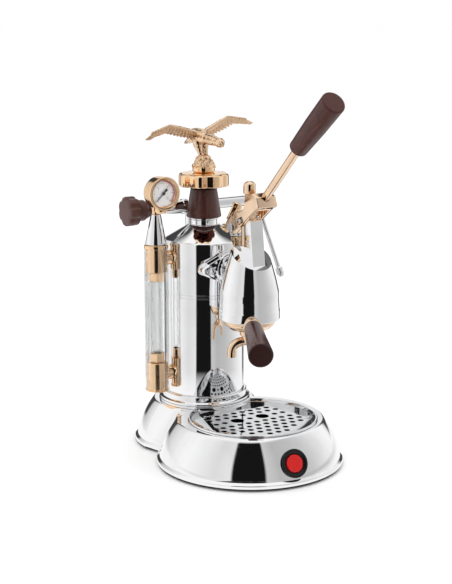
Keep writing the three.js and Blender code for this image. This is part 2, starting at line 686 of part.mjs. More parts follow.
function boilerKeepOut() {
  return solidOf(turned([
    [0, boiler.bottom],
    ...boilerProfile(gap),
    [0, boiler.coneTop + gap],
  ], facets.large));
}

function buildBoiler() {
  const shell = ringTurned([
    [element.plugRadius + gap, boiler.bottom],
    ...boilerProfile(0),
    [boiler.neckRadius, boiler.coneTop],
    [boiler.neckRadius, boiler.neckTop],
    [boiler.neckBore, boiler.neckTop],
    [boiler.neckBore, boiler.coneTop - boiler.wall],
    [boiler.radius - boiler.wall, boiler.shoulder - boiler.wall, boiler.shoulderRound],
    [boiler.radius - boiler.wall, boiler.bottom + boiler.floor],
    [element.plugRadius + gap, boiler.bottom + boiler.floor],
  ], facets.large);
  const neckEnd = boiler.radius - boiler.wall;
  const neck = bar(
    at(0, -neckEnd / 2, neckHeight),
    at(0, -boiler.flangeFace, neckHeight),
    boiler.flangeNeckRadius,
    facets.medium,
  );
  const plate = frontPlate(lozenge(neckHeight), -boiler.flangeFace, boiler.flangeThickness);
  const core = solidOf(turned([
    [0, boiler.bottom + boiler.floor],
    [neckEnd, boiler.bottom + boiler.floor],
    [neckEnd, boiler.shoulder - boiler.wall],
    [0, boiler.shoulder - boiler.wall],
  ], facets.large));
  const studHoles = studPlaces.map((x) => bar(
    at(x, -boiler.flangeFace - overrun, neckHeight),
    at(x, -boiler.flangeFace + boiler.flangeThickness + overrun, neckHeight),
    flange.studRadius + gap,
    facets.small,
  ));
  const passage = bar(
    at(0, -boiler.flangeFace - overrun, neckHeight),
    at(0, -neckEnd + overrun, neckHeight),
    group.passage,
    facets.tiny,
  );
  const armHoles = [armHeight, lowArmHeight].map((height) => bar(
    at(-boiler.radius - overrun, 0, height),
    at(-neckEnd + overrun, 0, height),
    sight.passage,
    facets.tiny,
  ));
  const mount = neck.add(plate).subtract(core);
  addPiece('boiler_shell', 'chrome', cutBy(solidOf(shell).add(mount), ...studHoles, passage, ...armHoles));
}

function buildCollar() {
  const bottom = base.pedestalTop + gap;
  const ring = ringTurned([
    [boiler.radius + gap, bottom],
    [collar.radius, bottom],
    [collar.radius, bottom + collar.rim, collar.round],
    [collar.topRadius, bottom + collar.rim + collar.round],
    [collar.topRadius, collar.top, collar.round],
    [boiler.radius + gap, collar.top],
  ], facets.large);
  addPiece('boiler_collar', 'chrome', solidOf(ring));
}

function buildElement() {
  const top = boiler.bottom - gap;
  const plug = turned([
    [0, top - element.flangeThickness],
    [element.flangeRadius, top - element.flangeThickness],
    [element.flangeRadius, top],
    [element.plugRadius, top],
    [element.plugRadius, element.plugTop],
    [0, element.plugTop],
  ], facets.small);
  const legTop = element.loopTop - element.legSpread;
  const loop = new THREE.CurvePath();
  const legFoot = element.plugTop - overrun;
  loop.add(new THREE.LineCurve3(at(-element.legSpread, 0, legFoot), at(-element.legSpread, 0, legTop)));
  loop.add(new THREE.CubicBezierCurve3(
    at(-element.legSpread, 0, legTop),
    at(-element.legSpread, 0, element.loopTop + element.tubeRadius / 2),
    at(element.legSpread, 0, element.loopTop + element.tubeRadius / 2),
    at(element.legSpread, 0, legTop),
  ));
  loop.add(new THREE.LineCurve3(at(element.legSpread, 0, legTop), at(element.legSpread, 0, legFoot)));
  const heater = swept(loop, element.tubeRadius, element.loopSteps, facets.tiny);
  const low = top - element.flangeThickness;
  const terminals = [-element.legSpread, element.legSpread].map((x) => bar(
    at(x, 0, low - element.terminalDrop),
    at(x, 0, low + overrun),
    element.terminalRadius,
    facets.tiny,
  ));
  addPiece('heating_element', 'steel', joined(solidOf(plug), heater, ...terminals));
}

// Heights up the filler cap, each resting on the one before
const coneBottom = boiler.neckTop + gap + cap.plugFlange + gap;
const coneTop = coneBottom + cap.coneHeight;
const coverBottom = coneTop + cap.waistHeight + gap;
const coverTop = coverBottom + cap.coverHeight;
const bossBottom = coverTop + gap;
const bossTop = bossBottom + cap.bossHeight;

function buildCap() {
  const studTop = bossTop - cap.bossRound - gap;
  const plug = turned([
    [0, cap.plugBottom],
    [cap.plugRadius, cap.plugBottom],
    [cap.plugRadius, boiler.neckTop + gap],
    [cap.plugFlangeRadius, boiler.neckTop + gap],
    [cap.plugFlangeRadius, coneBottom - gap],
    [cap.studRadius, coneBottom - gap],
    [cap.studRadius, studTop],
    [0, studTop],
  ], facets.medium);
  addPiece('cap_plug', 'brass', solidOf(plug));
  const bore = cap.studRadius + gap;
  const cone = ringTurned([
    [bore, coneBottom],
    [cap.coneBottomRadius, coneBottom, cap.coneRound],
    [cap.coneTopRadius, coneTop, cap.coneRound],
    [cap.waistRadius, coneTop],
    [cap.waistRadius, coneTop + cap.waistHeight],
    [bore, coneTop + cap.waistHeight],
  ], facets.medium);
  addPiece('cap_cone', 'wood', solidOf(cone));
  const cover = lobed(cap.coverRadius, cap.lobeCount, cap.lobeDepth, [
    [cap.coverRound, coverBottom],
    [0, coverBottom + cap.coverRound],
    [0, coverTop - cap.coverRound],
    [cap.coverRound, coverTop],
  ], cap.coverSteps);
  const coverBore = bar(at(0, 0, coverBottom - overrun), at(0, 0, coverTop + overrun), bore);
  addPiece('cap_cover', 'brass', cover.subtract(coverBore));
  const boss = turned([
    [0, bossBottom],
    [cap.bossRadius, bossBottom],
    [cap.bossRadius, bossTop, cap.bossRound],
    [0, bossTop],
  ], facets.medium);
  const blind = bar(at(0, 0, bossBottom - overrun), at(0, 0, studTop + gap), bore);
  addPiece('cap_boss', 'brass', solidOf(boss).subtract(blind));
}

// One wing as a flat outline, from the root out along +X, with a feathered trailing edge
function wingOutline() {
  const points = [
    [eagle.rootHalf, 0, 0],
    [eagle.shoulderOut, eagle.shoulderRise, eagle.featherDepth],
    [eagle.crestOut, eagle.crestRise, eagle.featherDepth * 2],
    [eagle.outerOut, eagle.outerRise, eagle.featherDepth],
    [eagle.tipOut, eagle.tipRise, 0],
  ];
  const span = eagle.tipOut - eagle.trailOut;
  for (let k = 0; k < eagle.featherCount; k += 1) {
    const share = (k + 0.5) / eagle.featherCount;
    const out = eagle.tipOut - span * share;
    const drop = -eagle.trailDrop * Math.sin((share * Math.PI) / 2) - eagle.sweepDrop;
    points.push([out + span / eagle.featherCount / 4, drop + eagle.featherDepth, 0]);
    points.push([out - span / eagle.featherCount / 4, drop, 0]);
  }
  points.push([eagle.rootHalf, -eagle.trailDrop, 0]);
  return points;
}

function ellipsoid(centre, half, direction, sides = facets.tiny) {
  const geometry = new THREE.SphereGeometry(1, sides + facets.arc, sides);
  geometry.rotateX(Math.PI / 2).scale(half.x, half.y, half.z);
  return solidOf(aimed(geometry, centre, direction));
}

function buildEagle() {
  const foot0 = bossTop + gap;
  const perch = turned([
    [0, foot0],
    [eagle.perchRadius, foot0, eagle.perchRound],
    [eagle.perchTopRadius + eagle.perchSwell, foot0 + eagle.perchHeight / 2],
    [eagle.perchTopRadius, foot0 + eagle.perchHeight, eagle.perchRound],
    [0, foot0 + eagle.perchHeight],
  ], facets.tiny);
  const body = at(0, eagle.bodyBack, foot0 + eagle.bodyRise);
  const head = at(0, -eagle.headForward, foot0 + eagle.headRise);
  const tail = at(0, eagle.tailBack, foot0 + eagle.tailRise);
  const alongBody = head.clone().sub(body);
  const trunk = ellipsoid(body, at(eagle.bodyWidth, eagle.bodyWidth, eagle.bodyLength), alongBody);
  const neck = ellipsoid(
    body.clone().lerp(head, eagleShares.neckMiddle),
    at(eagle.neckRadius, eagle.neckRadius, alongBody.length() / 2),
    alongBody,
  );
  const skull = ellipsoid(head, at(eagle.headRadius, eagle.headRadius, eagle.headHalf), alongBody);
  const beakTip = head.clone().add(at(0, -eagle.beakLength, -eagle.beakDrop));
  const beakRun = beakTip.clone().sub(head);
  const beak = solidOf(aimed(turned([
    [0, 0],
    [eagle.beakRootRadius, 0],
    [eagle.beakRadius, eagle.beakCurve],
    [0, beakRun.length()],
  ], facets.tiny), head, beakRun));
  const tailRun = tail.clone().sub(body);
  const fan = ellipsoid(
    body.clone().lerp(tail, eagleShares.tailMiddle),
    at(eagle.tailHalf, eagle.tailThickness, tailRun.length() * eagleShares.tailFill),
    tailRun,
  );
  const legs = [-eagle.legSpread, eagle.legSpread].map((x) => bar(
    at(x, 0, foot0 + eagle.perchHeight - eagle.legSeat),
    at(x, eagle.bodyBack / 2, body.z),
    eagle.legRadius,
    facets.tiny,
  ));
  const wings = [1, -1].map((side) => {
    const outline = wingOutline().map(([out, rise, fillet]) => [side * out, rise, fillet]);
    const geometry = extruded(outline, eagle.wingThickness);
    geometry.applyMatrix4(new THREE.Matrix4().makeBasis(at(1, 0, 0), at(0, 0, 1), at(0, -1, 0)));
    geometry.rotateY(radians(-eagle.bankAngle));
    return solidOf(geometry.translate(0, eagle.wingBack + eagle.wingThickness, foot0 + eagle.rootRise));
  });
  addPiece('cap_eagle', 'brass', joined(solidOf(perch), trunk, neck, skull, beak, fan, ...legs, ...wings));
}

function buildSight() {
  const x = -sight.across;
  const reach = -boiler.radius - gap;
  const boreRadius = sight.glassRadius + gap;
  const arm = (height) => bar(at(x, 0, height), at(reach, 0, height), sight.armRadius, facets.small);
  const armCut = boilerKeepOut();
  const channel = (from, to, height) => joined(
    bar(at(x, 0, from), at(x, 0, to), sight.passage, facets.tiny),
    bar(at(x, 0, height), at(reach + overrun, 0, height), sight.passage, facets.tiny),
  );
  const topBlock = solidOf(turned([
    [0, sight.topBlock],
    [sight.blockRadius, sight.topBlock],
    [sight.blockRadius, topBlockTop],
    [sight.ringRadius, topBlockTop],
    [sight.ringRadius, topBlockTop + sight.ringHeight, sight.ringRound],
    [0, topBlockTop + sight.ringHeight],
  ], facets.small).translate(x, 0, 0));
  const topSeat = sight.topBlock + sight.glassSeat;
  const topBore = bar(at(x, 0, sight.topBlock - overrun), at(x, 0, topSeat), boreRadius, facets.small);
  addPiece('sight_top_block', 'brass', cutBy(
    joined(topBlock, arm(armHeight)),
    armCut,
    topBore,
    channel(topSeat - gap, topBlockTop + sight.ringHeight + overrun, armHeight),
  ));
  const bottomBlock = solidOf(turned([
    [0, sight.bottomBlock - sight.flangeHeight],
    [sight.flangeRadius, sight.bottomBlock - sight.flangeHeight],
    [sight.flangeRadius, sight.bottomBlock - gap],
    [sight.blockRadius, sight.bottomBlock - gap],
    [sight.blockRadius, bottomBlockTop],
    [0, bottomBlockTop],
  ], facets.small).translate(x, 0, 0));
  const bottomSeat = bottomBlockTop - sight.glassSeat;
  const bottomBore = bar(at(x, 0, bottomSeat), at(x, 0, bottomBlockTop + overrun), boreRadius, facets.small);
  addPiece('sight_bottom_block', 'brass', cutBy(
    joined(bottomBlock, arm(lowArmHeight)),
    armCut,
    bottomBore,
    channel(lowArmHeight, bottomSeat + gap, lowArmHeight),
  ));
  const glassBottom = bottomSeat + gap;
  const glassTop = topSeat - gap;
  addPiece('sight_glass', 'glass', solidOf(ringTurned([
    [sight.glassRadius - sight.glassWall, glassBottom],
    [sight.glassRadius, glassBottom],
    [sight.glassRadius, glassTop],
    [sight.glassRadius - sight.glassWall, glassTop],
  ], facets.small).translate(x, 0, 0)));
  const topNut = hexNut(sight.nutRadius, boreRadius, sight.nutHeight);
  addPiece('sight_top_nut', 'brass', topNut.translate([x, 0, sight.topBlock - gap - sight.nutHeight]));
  const bottomNut = hexNut(sight.nutRadius, boreRadius, sight.nutHeight);
  addPiece('sight_bottom_nut', 'brass', bottomNut.translate([x, 0, bottomBlockTop + gap]));
  const sleeveTop = topBlockTop - gap;
  const sleeve = ringTurned([
    [sight.sleeveRadius - sight.sleeveWall, sight.bottomBlock],
    [sight.sleeveRadius, sight.bottomBlock],
    [sight.sleeveRadius, sleeveTop],
    [sight.sleeveRadius - sight.sleeveWall, sleeveTop],
  ], facets.medium).translate(x, 0, 0);
  const slot = block(
    at(x, -sight.slotHalf, sight.bottomBlock - overrun),
    at(x + sight.sleeveRadius + overrun, sight.slotHalf, sleeveTop + overrun),
  );
  addPiece('sight_sleeve', 'glass', solidOf(sleeve).subtract(solidOf(slot)));
}

function buildGauge() {
  const x = -sight.across;
  addPiece('gauge_cone', 'chrome', solidOf(ringTurned([
    [gaugeCone.bore, coneFoot],
    [gaugeCone.bottomRadius, coneFoot, gaugeCone.round],
    [gaugeCone.topRadius, coneTip, gaugeCone.round],
    [gaugeCone.bore, coneTip],
  ], facets.small).translate(x, 0, 0)));
  const front = at(x, -gauge.front, gaugeHeight);
  const back = at(0, 1, 0);
  const shell = ringTurned([
    [0, gauge.boreDepth],
    [gauge.boreRadius, gauge.boreDepth],
    [gauge.boreRadius, gauge.lipDepth],
    [gauge.caseRadius - gauge.lipWidth - gauge.rimRound, gauge.lipDepth],
    [gauge.caseRadius - gauge.lipWidth, 0, gauge.rimRound],
    [gauge.caseRadius, 0, gauge.rimRound],
    [gauge.caseRadius, gauge.depth, gauge.backRound],
    [0, gauge.depth],
  ], facets.medium);
  const stemY = -gauge.front + gauge.depth / 2;
  const neckTop = gaugeHeight - gauge.caseRadius + gauge.rimRound;
  const neckBottom = neckTop - gauge.neckLength;
  const neckMiddle = neckBottom + gauge.neckLength / 2;
  const neck = turned([
    [0, neckBottom],
    [gauge.stemRadius, neckBottom],
    [gauge.neckRadius, neckMiddle],
    [gauge.neckRadius, gaugeHeight - gauge.boreRadius],
    [0, gaugeHeight - gauge.boreRadius],
  ], facets.small).translate(x, stemY, 0);
  const elbow = joined(
    bar(at(x, stemY, neckMiddle), at(x, 0, neckMiddle), gauge.stemRadius / 2),
    bar(at(x, 0, coneTip + gap), at(x, 0, neckBottom + gauge.neckLength), gauge.stemRadius),
  );
  const hollow = bar(
    front.clone().addScaledVector(back, -overrun),
    front.clone().addScaledVector(back, gauge.boreDepth),
    gauge.caseRadius - gauge.lipWidth - gauge.rimRound,
  );
  const body = joined(solidOf(aimed(shell, front, back)), cutBy(solidOf(neck), hollow), elbow);
  addPiece('gauge_case', 'brass', body);
  const discRadius = gauge.boreRadius - gap;
  const dialBack = gauge.boreDepth - gap;
  const dial = ringTurned([
    [gauge.pinRadius + gap, dialBack - gauge.dialThickness],
    [discRadius, dialBack - gauge.dialThickness],
    [discRadius, dialBack],
    [gauge.pinRadius + gap, dialBack],
  ], facets.medium);
  addPiece('gauge_dial', 'dial', solidOf(aimed(dial, front, back)));
  const glassFront = gauge.lipDepth + gap;
  const glass = turned([
    [0, glassFront],
    [discRadius, glassFront],
    [discRadius, glassFront + gauge.glassThickness],
    [0, glassFront + gauge.glassThickness],
  ], facets.medium);
  addPiece('gauge_glass', 'glass', solidOf(aimed(glass, front, back)));
  const pointer = extruded([
    [-gauge.tailHalf, -gauge.needleTail],
    [gauge.tailHalf, -gauge.needleTail],
    [gauge.needleHalf, 0],
    [gauge.needleHalf / 2, gauge.needleLength],
    [-gauge.needleHalf / 2, gauge.needleLength],
    [-gauge.needleHalf, 0],
  ], gauge.needleThickness);
  const hub = turned([
    [0, 0],
    [gauge.needleHub, 0],
    [gauge.needleHub, gauge.needleThickness],
    [gauge.pinRadius, gauge.needleThickness],
    [gauge.pinRadius, dialBack - gauge.needleDepth],
    [0, dialBack - gauge.needleDepth],
  ], facets.tiny);
  pointer.rotateX(Math.PI / 2).translate(0, gauge.needleThickness, 0).rotateY(radians(-gauge.needleRest));
  hub.rotateX(-Math.PI / 2);
  const needle = joined(solidOf(pointer), solidOf(hub));
  addPiece('gauge_needle', 'needle', needle.translate([front.x, front.y + gauge.needleDepth, front.z]));
}

function buildTap() {
  const line = (x) => at(x, tap.back, tapHeight);
  const toLeft = at(-1, 0, 0);
  const tube = bar(line(tap.bonnetRoot), line(tap.tubeEnd), tap.tubeRadius, facets.small);
  const bonnet = solidOf(aimed(turned([
    [0, 0],
    [tap.bonnetRadius, 0, tap.bonnetRound],
    [tap.bonnetEndRadius, tap.bonnetRoot - tap.bonnetEnd, tap.bonnetRound],
    [0, tap.bonnetRoot - tap.bonnetEnd],
  ], facets.small), line(tap.bonnetRoot), toLeft));
  const stub = bar(at(0, tap.back, boiler.shoulder), line(0), tap.stubRadius, facets.small);
  const outlet = bar(line(0), line(tap.tubeEnd + overrun), tap.tubeBore, facets.tiny);
  const riser = bar(at(0, tap.back, boiler.shoulder), line(0), tap.tubeBore, facets.tiny);
  const seatEnd = tap.bonnetEnd + tap.spindleDepth;
  const seat = bar(line(tap.bonnetEnd - overrun), line(seatEnd), tap.spindleRadius + gap);
  addPiece('tap_body', 'chrome', cutBy(joined(tube, bonnet, stub), boilerKeepOut(), outlet, riser, seat));
  const knobEnd = tap.knobStart - tap.knobThickness;
  const blind = (tap.knobStart + tap.hubEnd) / 2;
  const spindleTip = seatEnd - gap;
  addPiece('tap_spindle', 'steel', bar(line(spindleTip), line(blind + gap), tap.spindleRadius, facets.small));
  const hub = solidOf(aimed(turned([
    [0, 0],
    [tap.hubNeckRadius, 0, tap.hubRound],
    [tap.hubRadius, (tap.hubStart - tap.hubEnd) / 2, tap.hubRound],
    [tap.hubRadius, tap.hubStart - tap.knobStart],
    [0, tap.hubStart - tap.knobStart],
  ], facets.small), line(tap.hubStart), toLeft));
  const disc = lobed(tap.knobRadius, tap.lobeCount, tap.knobLobeDepth, [
    [tap.knobRound, tap.knobStart],
    [0, tap.knobStart - tap.knobRound],
    [0, knobEnd + tap.knobRound],
    [tap.knobRound, knobEnd],
  ].map(([inset, x]) => [inset, x - tap.knobStart]), tap.knobSteps);
  const knob = geometryOf(disc);
  knob.applyMatrix4(new THREE.Matrix4().makeBasis(at(0, 1, 0), at(0, 0, 1), at(1, 0, 0)));
  knob.translate(tap.knobStart, tap.back, tapHeight);
  const socket = bar(line(tap.hubStart + overrun), line(blind), tap.spindleRadius + gap, facets.small);
  addPiece('tap_knob', 'bakelite', joined(hub, solidOf(knob)).subtract(socket));
}

function buildWand() {
  const start = at(tap.tubeEnd + gap, tap.back, tapHeight);
  const right = at(1, 0, 0);
  const nut = solidOf(aimed(turned([
    [0, 0],
    [wand.nutRadius, 0, wand.nutRound],
    [wand.nutRadius, wand.nutLength, wand.nutRound],
    [0, wand.nutLength],
  ], 6), start, right));
  const socketStart = start.clone().add(at(wand.nutLength - wand.socketDepth, 0, 0));
  const along = (run) => start.clone().add(at(run, 0, 0));
  const mouth = bar(socketStart, along(wand.nutLength + overrun), wand.socketRadius, facets.small);
  const throat = bar(along(-overrun), along(wand.nutLength), tap.tubeBore);
  addPiece('wand_nut', 'chrome', cutBy(nut, mouth, throat));
  const ball = socketStart.clone().add(at(gap + wand.ballRadius, 0, 0));
  const run = at(wand.leanOut, -wand.leanForward, -wand.drop);
  const sphere = ellipsoid(ball, at(wand.ballRadius, wand.ballRadius, wand.ballRadius), up, facets.small);
  const pipeEnd = ball.clone().addScaledVector(run.clone().normalize(), wand.pipeLength);
  addPiece('steam_wand', 'chrome', joined(sphere, bar(ball, pipeEnd, wand.pipeRadius, facets.small)));
  const tipStart = pipeEnd.clone().addScaledVector(run.clone().normalize(), -wand.tipBore + gap);
  const tip = ringTurned([
    [wand.nozzle, wand.tipBore],
    [wand.pipeRadius + gap, wand.tipBore],
    [wand.pipeRadius + gap, 0],
    [wand.tipRadius, 0, wand.tipRound / 2],
    [wand.tipRadius, wand.tipLength, wand.tipRound],
    [wand.nozzle, wand.tipLength],
  ], facets.small);
  addPiece('wand_tip', 'chrome', solidOf(aimed(tip, tipStart, run)));
}

function buildValve() {
  const slope = (boiler.coneTop - boiler.shoulder) / (boiler.radius - boiler.coneRadius);
  const foot0 = at(valve.radiusOut, 0, boiler.shoulder + (boiler.radius - valve.radiusOut) * slope);
  const lean = at(Math.sin(radians(valve.leanAngle)), 0, Math.cos(radians(valve.leanAngle)));
  const start = foot0.clone().addScaledVector(lean, -overrun);
  const bodyStart = overrun + valve.baseHeight + valve.stemHeight;
  const bodyEnd = bodyStart + valve.bodyLength;
  const body = solidOf(aimed(turned([
    [0, 0],
    [valve.baseRadius, 0],
    [valve.baseRadius, overrun + valve.baseHeight / 2],
    [valve.stemRadius, overrun + valve.baseHeight],
    [valve.stemRadius, bodyStart],
    [valve.bodyRadius, bodyStart],
    [valve.bodyRadius, bodyEnd],
    [valve.spigotRadius, bodyEnd],
    [valve.spigotRadius, bodyEnd + valve.spigotHeight],
    [0, bodyEnd + valve.spigotHeight],
  ], facets.small), start, lean));
  addPiece('safety_valve_body', 'brass', body.subtract(boilerKeepOut()));
  const capStart = start.clone().addScaledVector(lean, bodyEnd + gap);
  const bore = valve.spigotRadius + gap;
  const dome = turned([
    [0, valve.spigotHeight],
    [bore, valve.spigotHeight],
    [bore, 0],
    [valve.capRadius, 0],
    [valve.capRadius, valve.capLength, valve.capRound],
    [0, valve.capLength],
  ], facets.small);
  addPiece('safety_valve_cap', 'brass', solidOf(aimed(dome, capStart, lean)));
}

const pivot = at(0, -lever.pivotForward, lever.pivotHeight);
const pinReach = lever.pivotForward - group.forward;
const pinHeight = lever.pivotHeight - pinReach * Math.tan(radians(lever.restAngle));

// The sloping floor that the tongue stands on, as a cutter for all that lies above it
function aboveFloor(lift) {
  const slope = (group.floorRearHeight - group.floorFrontHeight) / (group.floorFront - group.floorRear);
  const reach = group.rimRadius + overrun;
  const front = group.forward + reach;
  const rear = group.forward - reach;
  const height = (forward) => group.floorRearHeight + lift - (forward - group.floorRear) * slope;
  return sidePlate([
    [front, height(front), 0],
    [rear, height(rear), 0],
    [rear, group.tongueTop + reach, 0],
    [front, group.tongueTop + reach, 0],
  ], reach);
}

function buildGroup() {
  const about = (geometry) => solidOf(geometry.translate(0, -group.forward, 0));
  const bell = about(turned([
    [0, 0],
    [group.rimRadius, 0, group.rimRound],
    [group.rimRadius, group.skirtTop],
    [group.waistRadius, group.waistLow],
    [group.waistRadius, group.waistHigh, group.rimRound],
    [group.shoulderRadius, group.shoulderHeight],
    [group.throatRadius, group.throatHeight],
    [group.crownRadius, group.crownHeight],
    [0, group.crownHeight],
  ], facets.large));
  const tongue = sidePlate([
    [group.floorFront, group.tongueRootHeight, 0],
    [group.floorFront, group.floorFrontHeight, 0],
    [group.tongueFrontMiddle, group.tongueMiddleHeight, group.rimRadius],
    [group.tongueFrontTop, group.tongueTop, group.tongueRound],
    [lever.pivotForward + lever.earRadius, group.tongueTop, lever.earRadius],
    [lever.pivotForward - lever.earRadius, lever.pivotHeight + lever.earRadius, lever.earRadius],
    [lever.pivotForward - lever.earRadius, lever.pivotHeight - lever.earRadius, lever.earRadius],
    [group.floorRear, group.tongueRootHeight, 0],
  ], group.tongueHalf);
  const neckBack = -flange.face - gap;
  const neck = solidOf(aimed(turned([
    [0, 0],
    [group.neckRadius, 0],
    [group.neckRadius, group.shoulderRadius - overrun],
    [group.neckWaist, group.shoulderRadius + overrun, group.rimRound],
    [group.neckFlare, group.forward + neckBack - flange.pocket],
    [0, group.forward + neckBack - flange.pocket],
  ], facets.medium), at(0, -group.forward, group.axisHeight), at(0, 1, 0)));
  const plateFront = -flange.face - flange.thickness;
  const plate = frontPlate(lozenge(group.axisHeight), plateFront, flange.thickness);
  const inner = lozenge(group.axisHeight, flange.rim, flange.tipRim);
  const pocket = frontPlate(inner, plateFront - overrun, flange.pocket + overrun);
  const neckKeep = bar(
    at(0, plateFront - overrun * 2, group.axisHeight),
    at(0, plateFront + flange.pocket + overrun, group.axisHeight),
    group.neckFlare,
    facets.medium,
  );
  const bodySolid = joined(
    cutBy(bell, aboveFloor(0)),
    tongue,
    neck,
    cutBy(plate, pocket.subtract(neckKeep)),
  );
  const skirt = about(turned([
    [0, -overrun],
    [group.lipBore, -overrun],
    [group.lipBore, group.lipThickness],
    [group.channel, group.lipThickness],
    [group.channel, group.gasketSeat],
    [group.bore, group.gasketSeat],
    [group.bore, group.boreTop],
    [group.rodBore, group.boreTop],
    [group.rodBore, group.tongueTop + overrun],
    [0, group.tongueTop + overrun],
  ], facets.medium));
  const notchTurn = radians(portafilter.turnAngle + portafilter.lugAngle);
  const notch = block(
    at(-group.channel, -portafilter.lugHalf - gap, -overrun),
    at(group.channel, portafilter.lugHalf + gap, group.lipThickness + gap),
  ).rotateZ(-notchTurn);
  const pinSlot = block(
    at(-group.tongueHalf - overrun, -group.forward - group.slotHalf, group.slotFloor),
    at(group.tongueHalf + overrun, -group.forward + group.slotHalf, group.tongueTop + overrun),
  );
  const pivotHole = bar(
    pivot.clone().setX(-group.tongueHalf - overrun),
    pivot.clone().setX(group.tongueHalf + overrun),
    lever.pivotRadius + gap,
    facets.small,
  );
  const passage = bar(
    at(0, -group.forward, group.axisHeight),
    at(0, overrun - flange.face, group.axisHeight),
    group.passage,
    facets.tiny,
  );
  const studHoles = studPlaces.map((x) => bar(
    at(x, plateFront - overrun, group.axisHeight),
    at(x, overrun - flange.face, group.axisHeight),
    flange.studRadius + gap,
    facets.small,
  ));
  addAtRim('group_bell', 'chrome', cutBy(
    bodySolid,
    skirt,
    about(notch),
    solidOf(pinSlot),
    pivotHole,
    passage,
    ...studHoles,
  ));
  const nutFace = plateFront + flange.pocket - gap;
  ['flange_nut_left', 'flange_nut_right'].forEach((name, i) => {
    const studEnd = flange.studDepth + flange.nutHeight;
    const hex = hexNut(flange.nutRadius, flange.studRadius / 2, flange.nutHeight);
    const dome = solidOf(turned([
      [0, -studEnd],
      [flange.studRadius, -studEnd],
      [flange.studRadius, flange.nutHeight / 2],
      [flange.domeRadius, flange.nutHeight / 2],
      [flange.domeRadius, flange.nutHeight + flange.domeHeight, flange.domeHeight],
      [0, flange.nutHeight + flange.domeHeight],
    ], facets.small));
    const whole = geometryOf(hex.add(dome));
    const place = at(studPlaces[i], nutFace, group.axisHeight);
    addAtRim(name, 'chrome', solidOf(aimed(whole, place, at(0, -1, 0))));
  });
  addAtRim('group_gasket', 'rubber', about(ringTurned([
    [gasket.bore, group.gasketSeat - gap - gasket.thickness],
    [gasket.radius, group.gasketSeat - gap - gasket.thickness],
    [gasket.radius, group.gasketSeat - gap],
    [gasket.bore, group.gasketSeat - gap],
  ], facets.medium)));
  const screenTop = group.gasketSeat - gap;
  const sheet = about(turned([
    [0, screenTop - screen.rimHeight],
    [screen.radius, screenTop - screen.rimHeight],
    [screen.radius, screenTop],
    [screen.radius - screen.rimWall, screenTop],
    [screen.radius - screen.rimWall, screenTop - screen.rimHeight + screen.thickness],
    [0, screenTop - screen.rimHeight + screen.thickness],
  ], facets.medium));
  const holes = [];
  for (let ring = 0; ring <= screen.ringCount; ring += 1) {
    const count = Math.max(1, screen.ringHoleCount * ring);
    for (let k = 0; k < count; k += 1) {
      const angle = (2 * Math.PI * k) / count;
      const x = ring * screen.ringPitch * Math.cos(angle);
      const y = ring * screen.ringPitch * Math.sin(angle) - group.forward;
      const low = screenTop - screen.rimHeight - overrun;
      holes.push(bar(at(x, y, low), at(x, y, screenTop), screen.holeRadius, facets.tiny));
    }
  }
  addAtRim('shower_screen', 'steel', cutBy(sheet, ...holes));
}

function buildPiston() {
  const about = (geometry) => solidOf(geometry.translate(0, -group.forward, 0));
  const rod = about(turned([
    [0, piston.rodBottom],
    [piston.rodRadius, piston.rodBottom],
    [piston.rodRadius, piston.headBottom],
    [piston.headRadius, piston.headBottom],
    [piston.headRadius, piston.headTop, piston.headRound],
    [0, piston.headTop],
  ], facets.small));
  const pinStart = at(-lever.plateOuter - lever.pinProud, -group.forward, pinHeight);
  const pinEnd = at(lever.plateOuter + lever.pinProud, -group.forward, pinHeight);
  addAtRim('piston_rod', 'brass', rod.subtract(bar(pinStart, pinEnd, lever.pinRadius + gap, facets.small)));
  addAtRim('piston_pin', 'steel', bar(pinStart, pinEnd, lever.pinRadius, facets.small));
  const top = piston.crown + piston.height;
  addAtRim('piston', 'steel', about(turned([
    [0, piston.crown],
    [piston.radius, piston.crown],
    [piston.radius, piston.grooveBottom],
    [piston.grooveRadius, piston.grooveBottom],
    [piston.grooveRadius, piston.grooveBottom + piston.grooveHeight],
    [piston.radius, piston.grooveBottom + piston.grooveHeight],
    [piston.radius, top],
    [piston.rodRadius + gap, top],
    [piston.rodRadius + gap, piston.rodBottom - gap],
    [0, piston.rodBottom - gap],
  ], facets.medium)));
  addAtRim('piston_seal', 'rubber', about(ringTurned([
    [piston.grooveRadius + gap, piston.grooveBottom + gap],
    [piston.sealRadius, piston.grooveBottom + gap],
    [piston.sealRadius, piston.grooveBottom + piston.grooveHeight - gap],
    [piston.grooveRadius + gap, piston.grooveBottom + piston.grooveHeight - gap],
  ], facets.medium)));
}

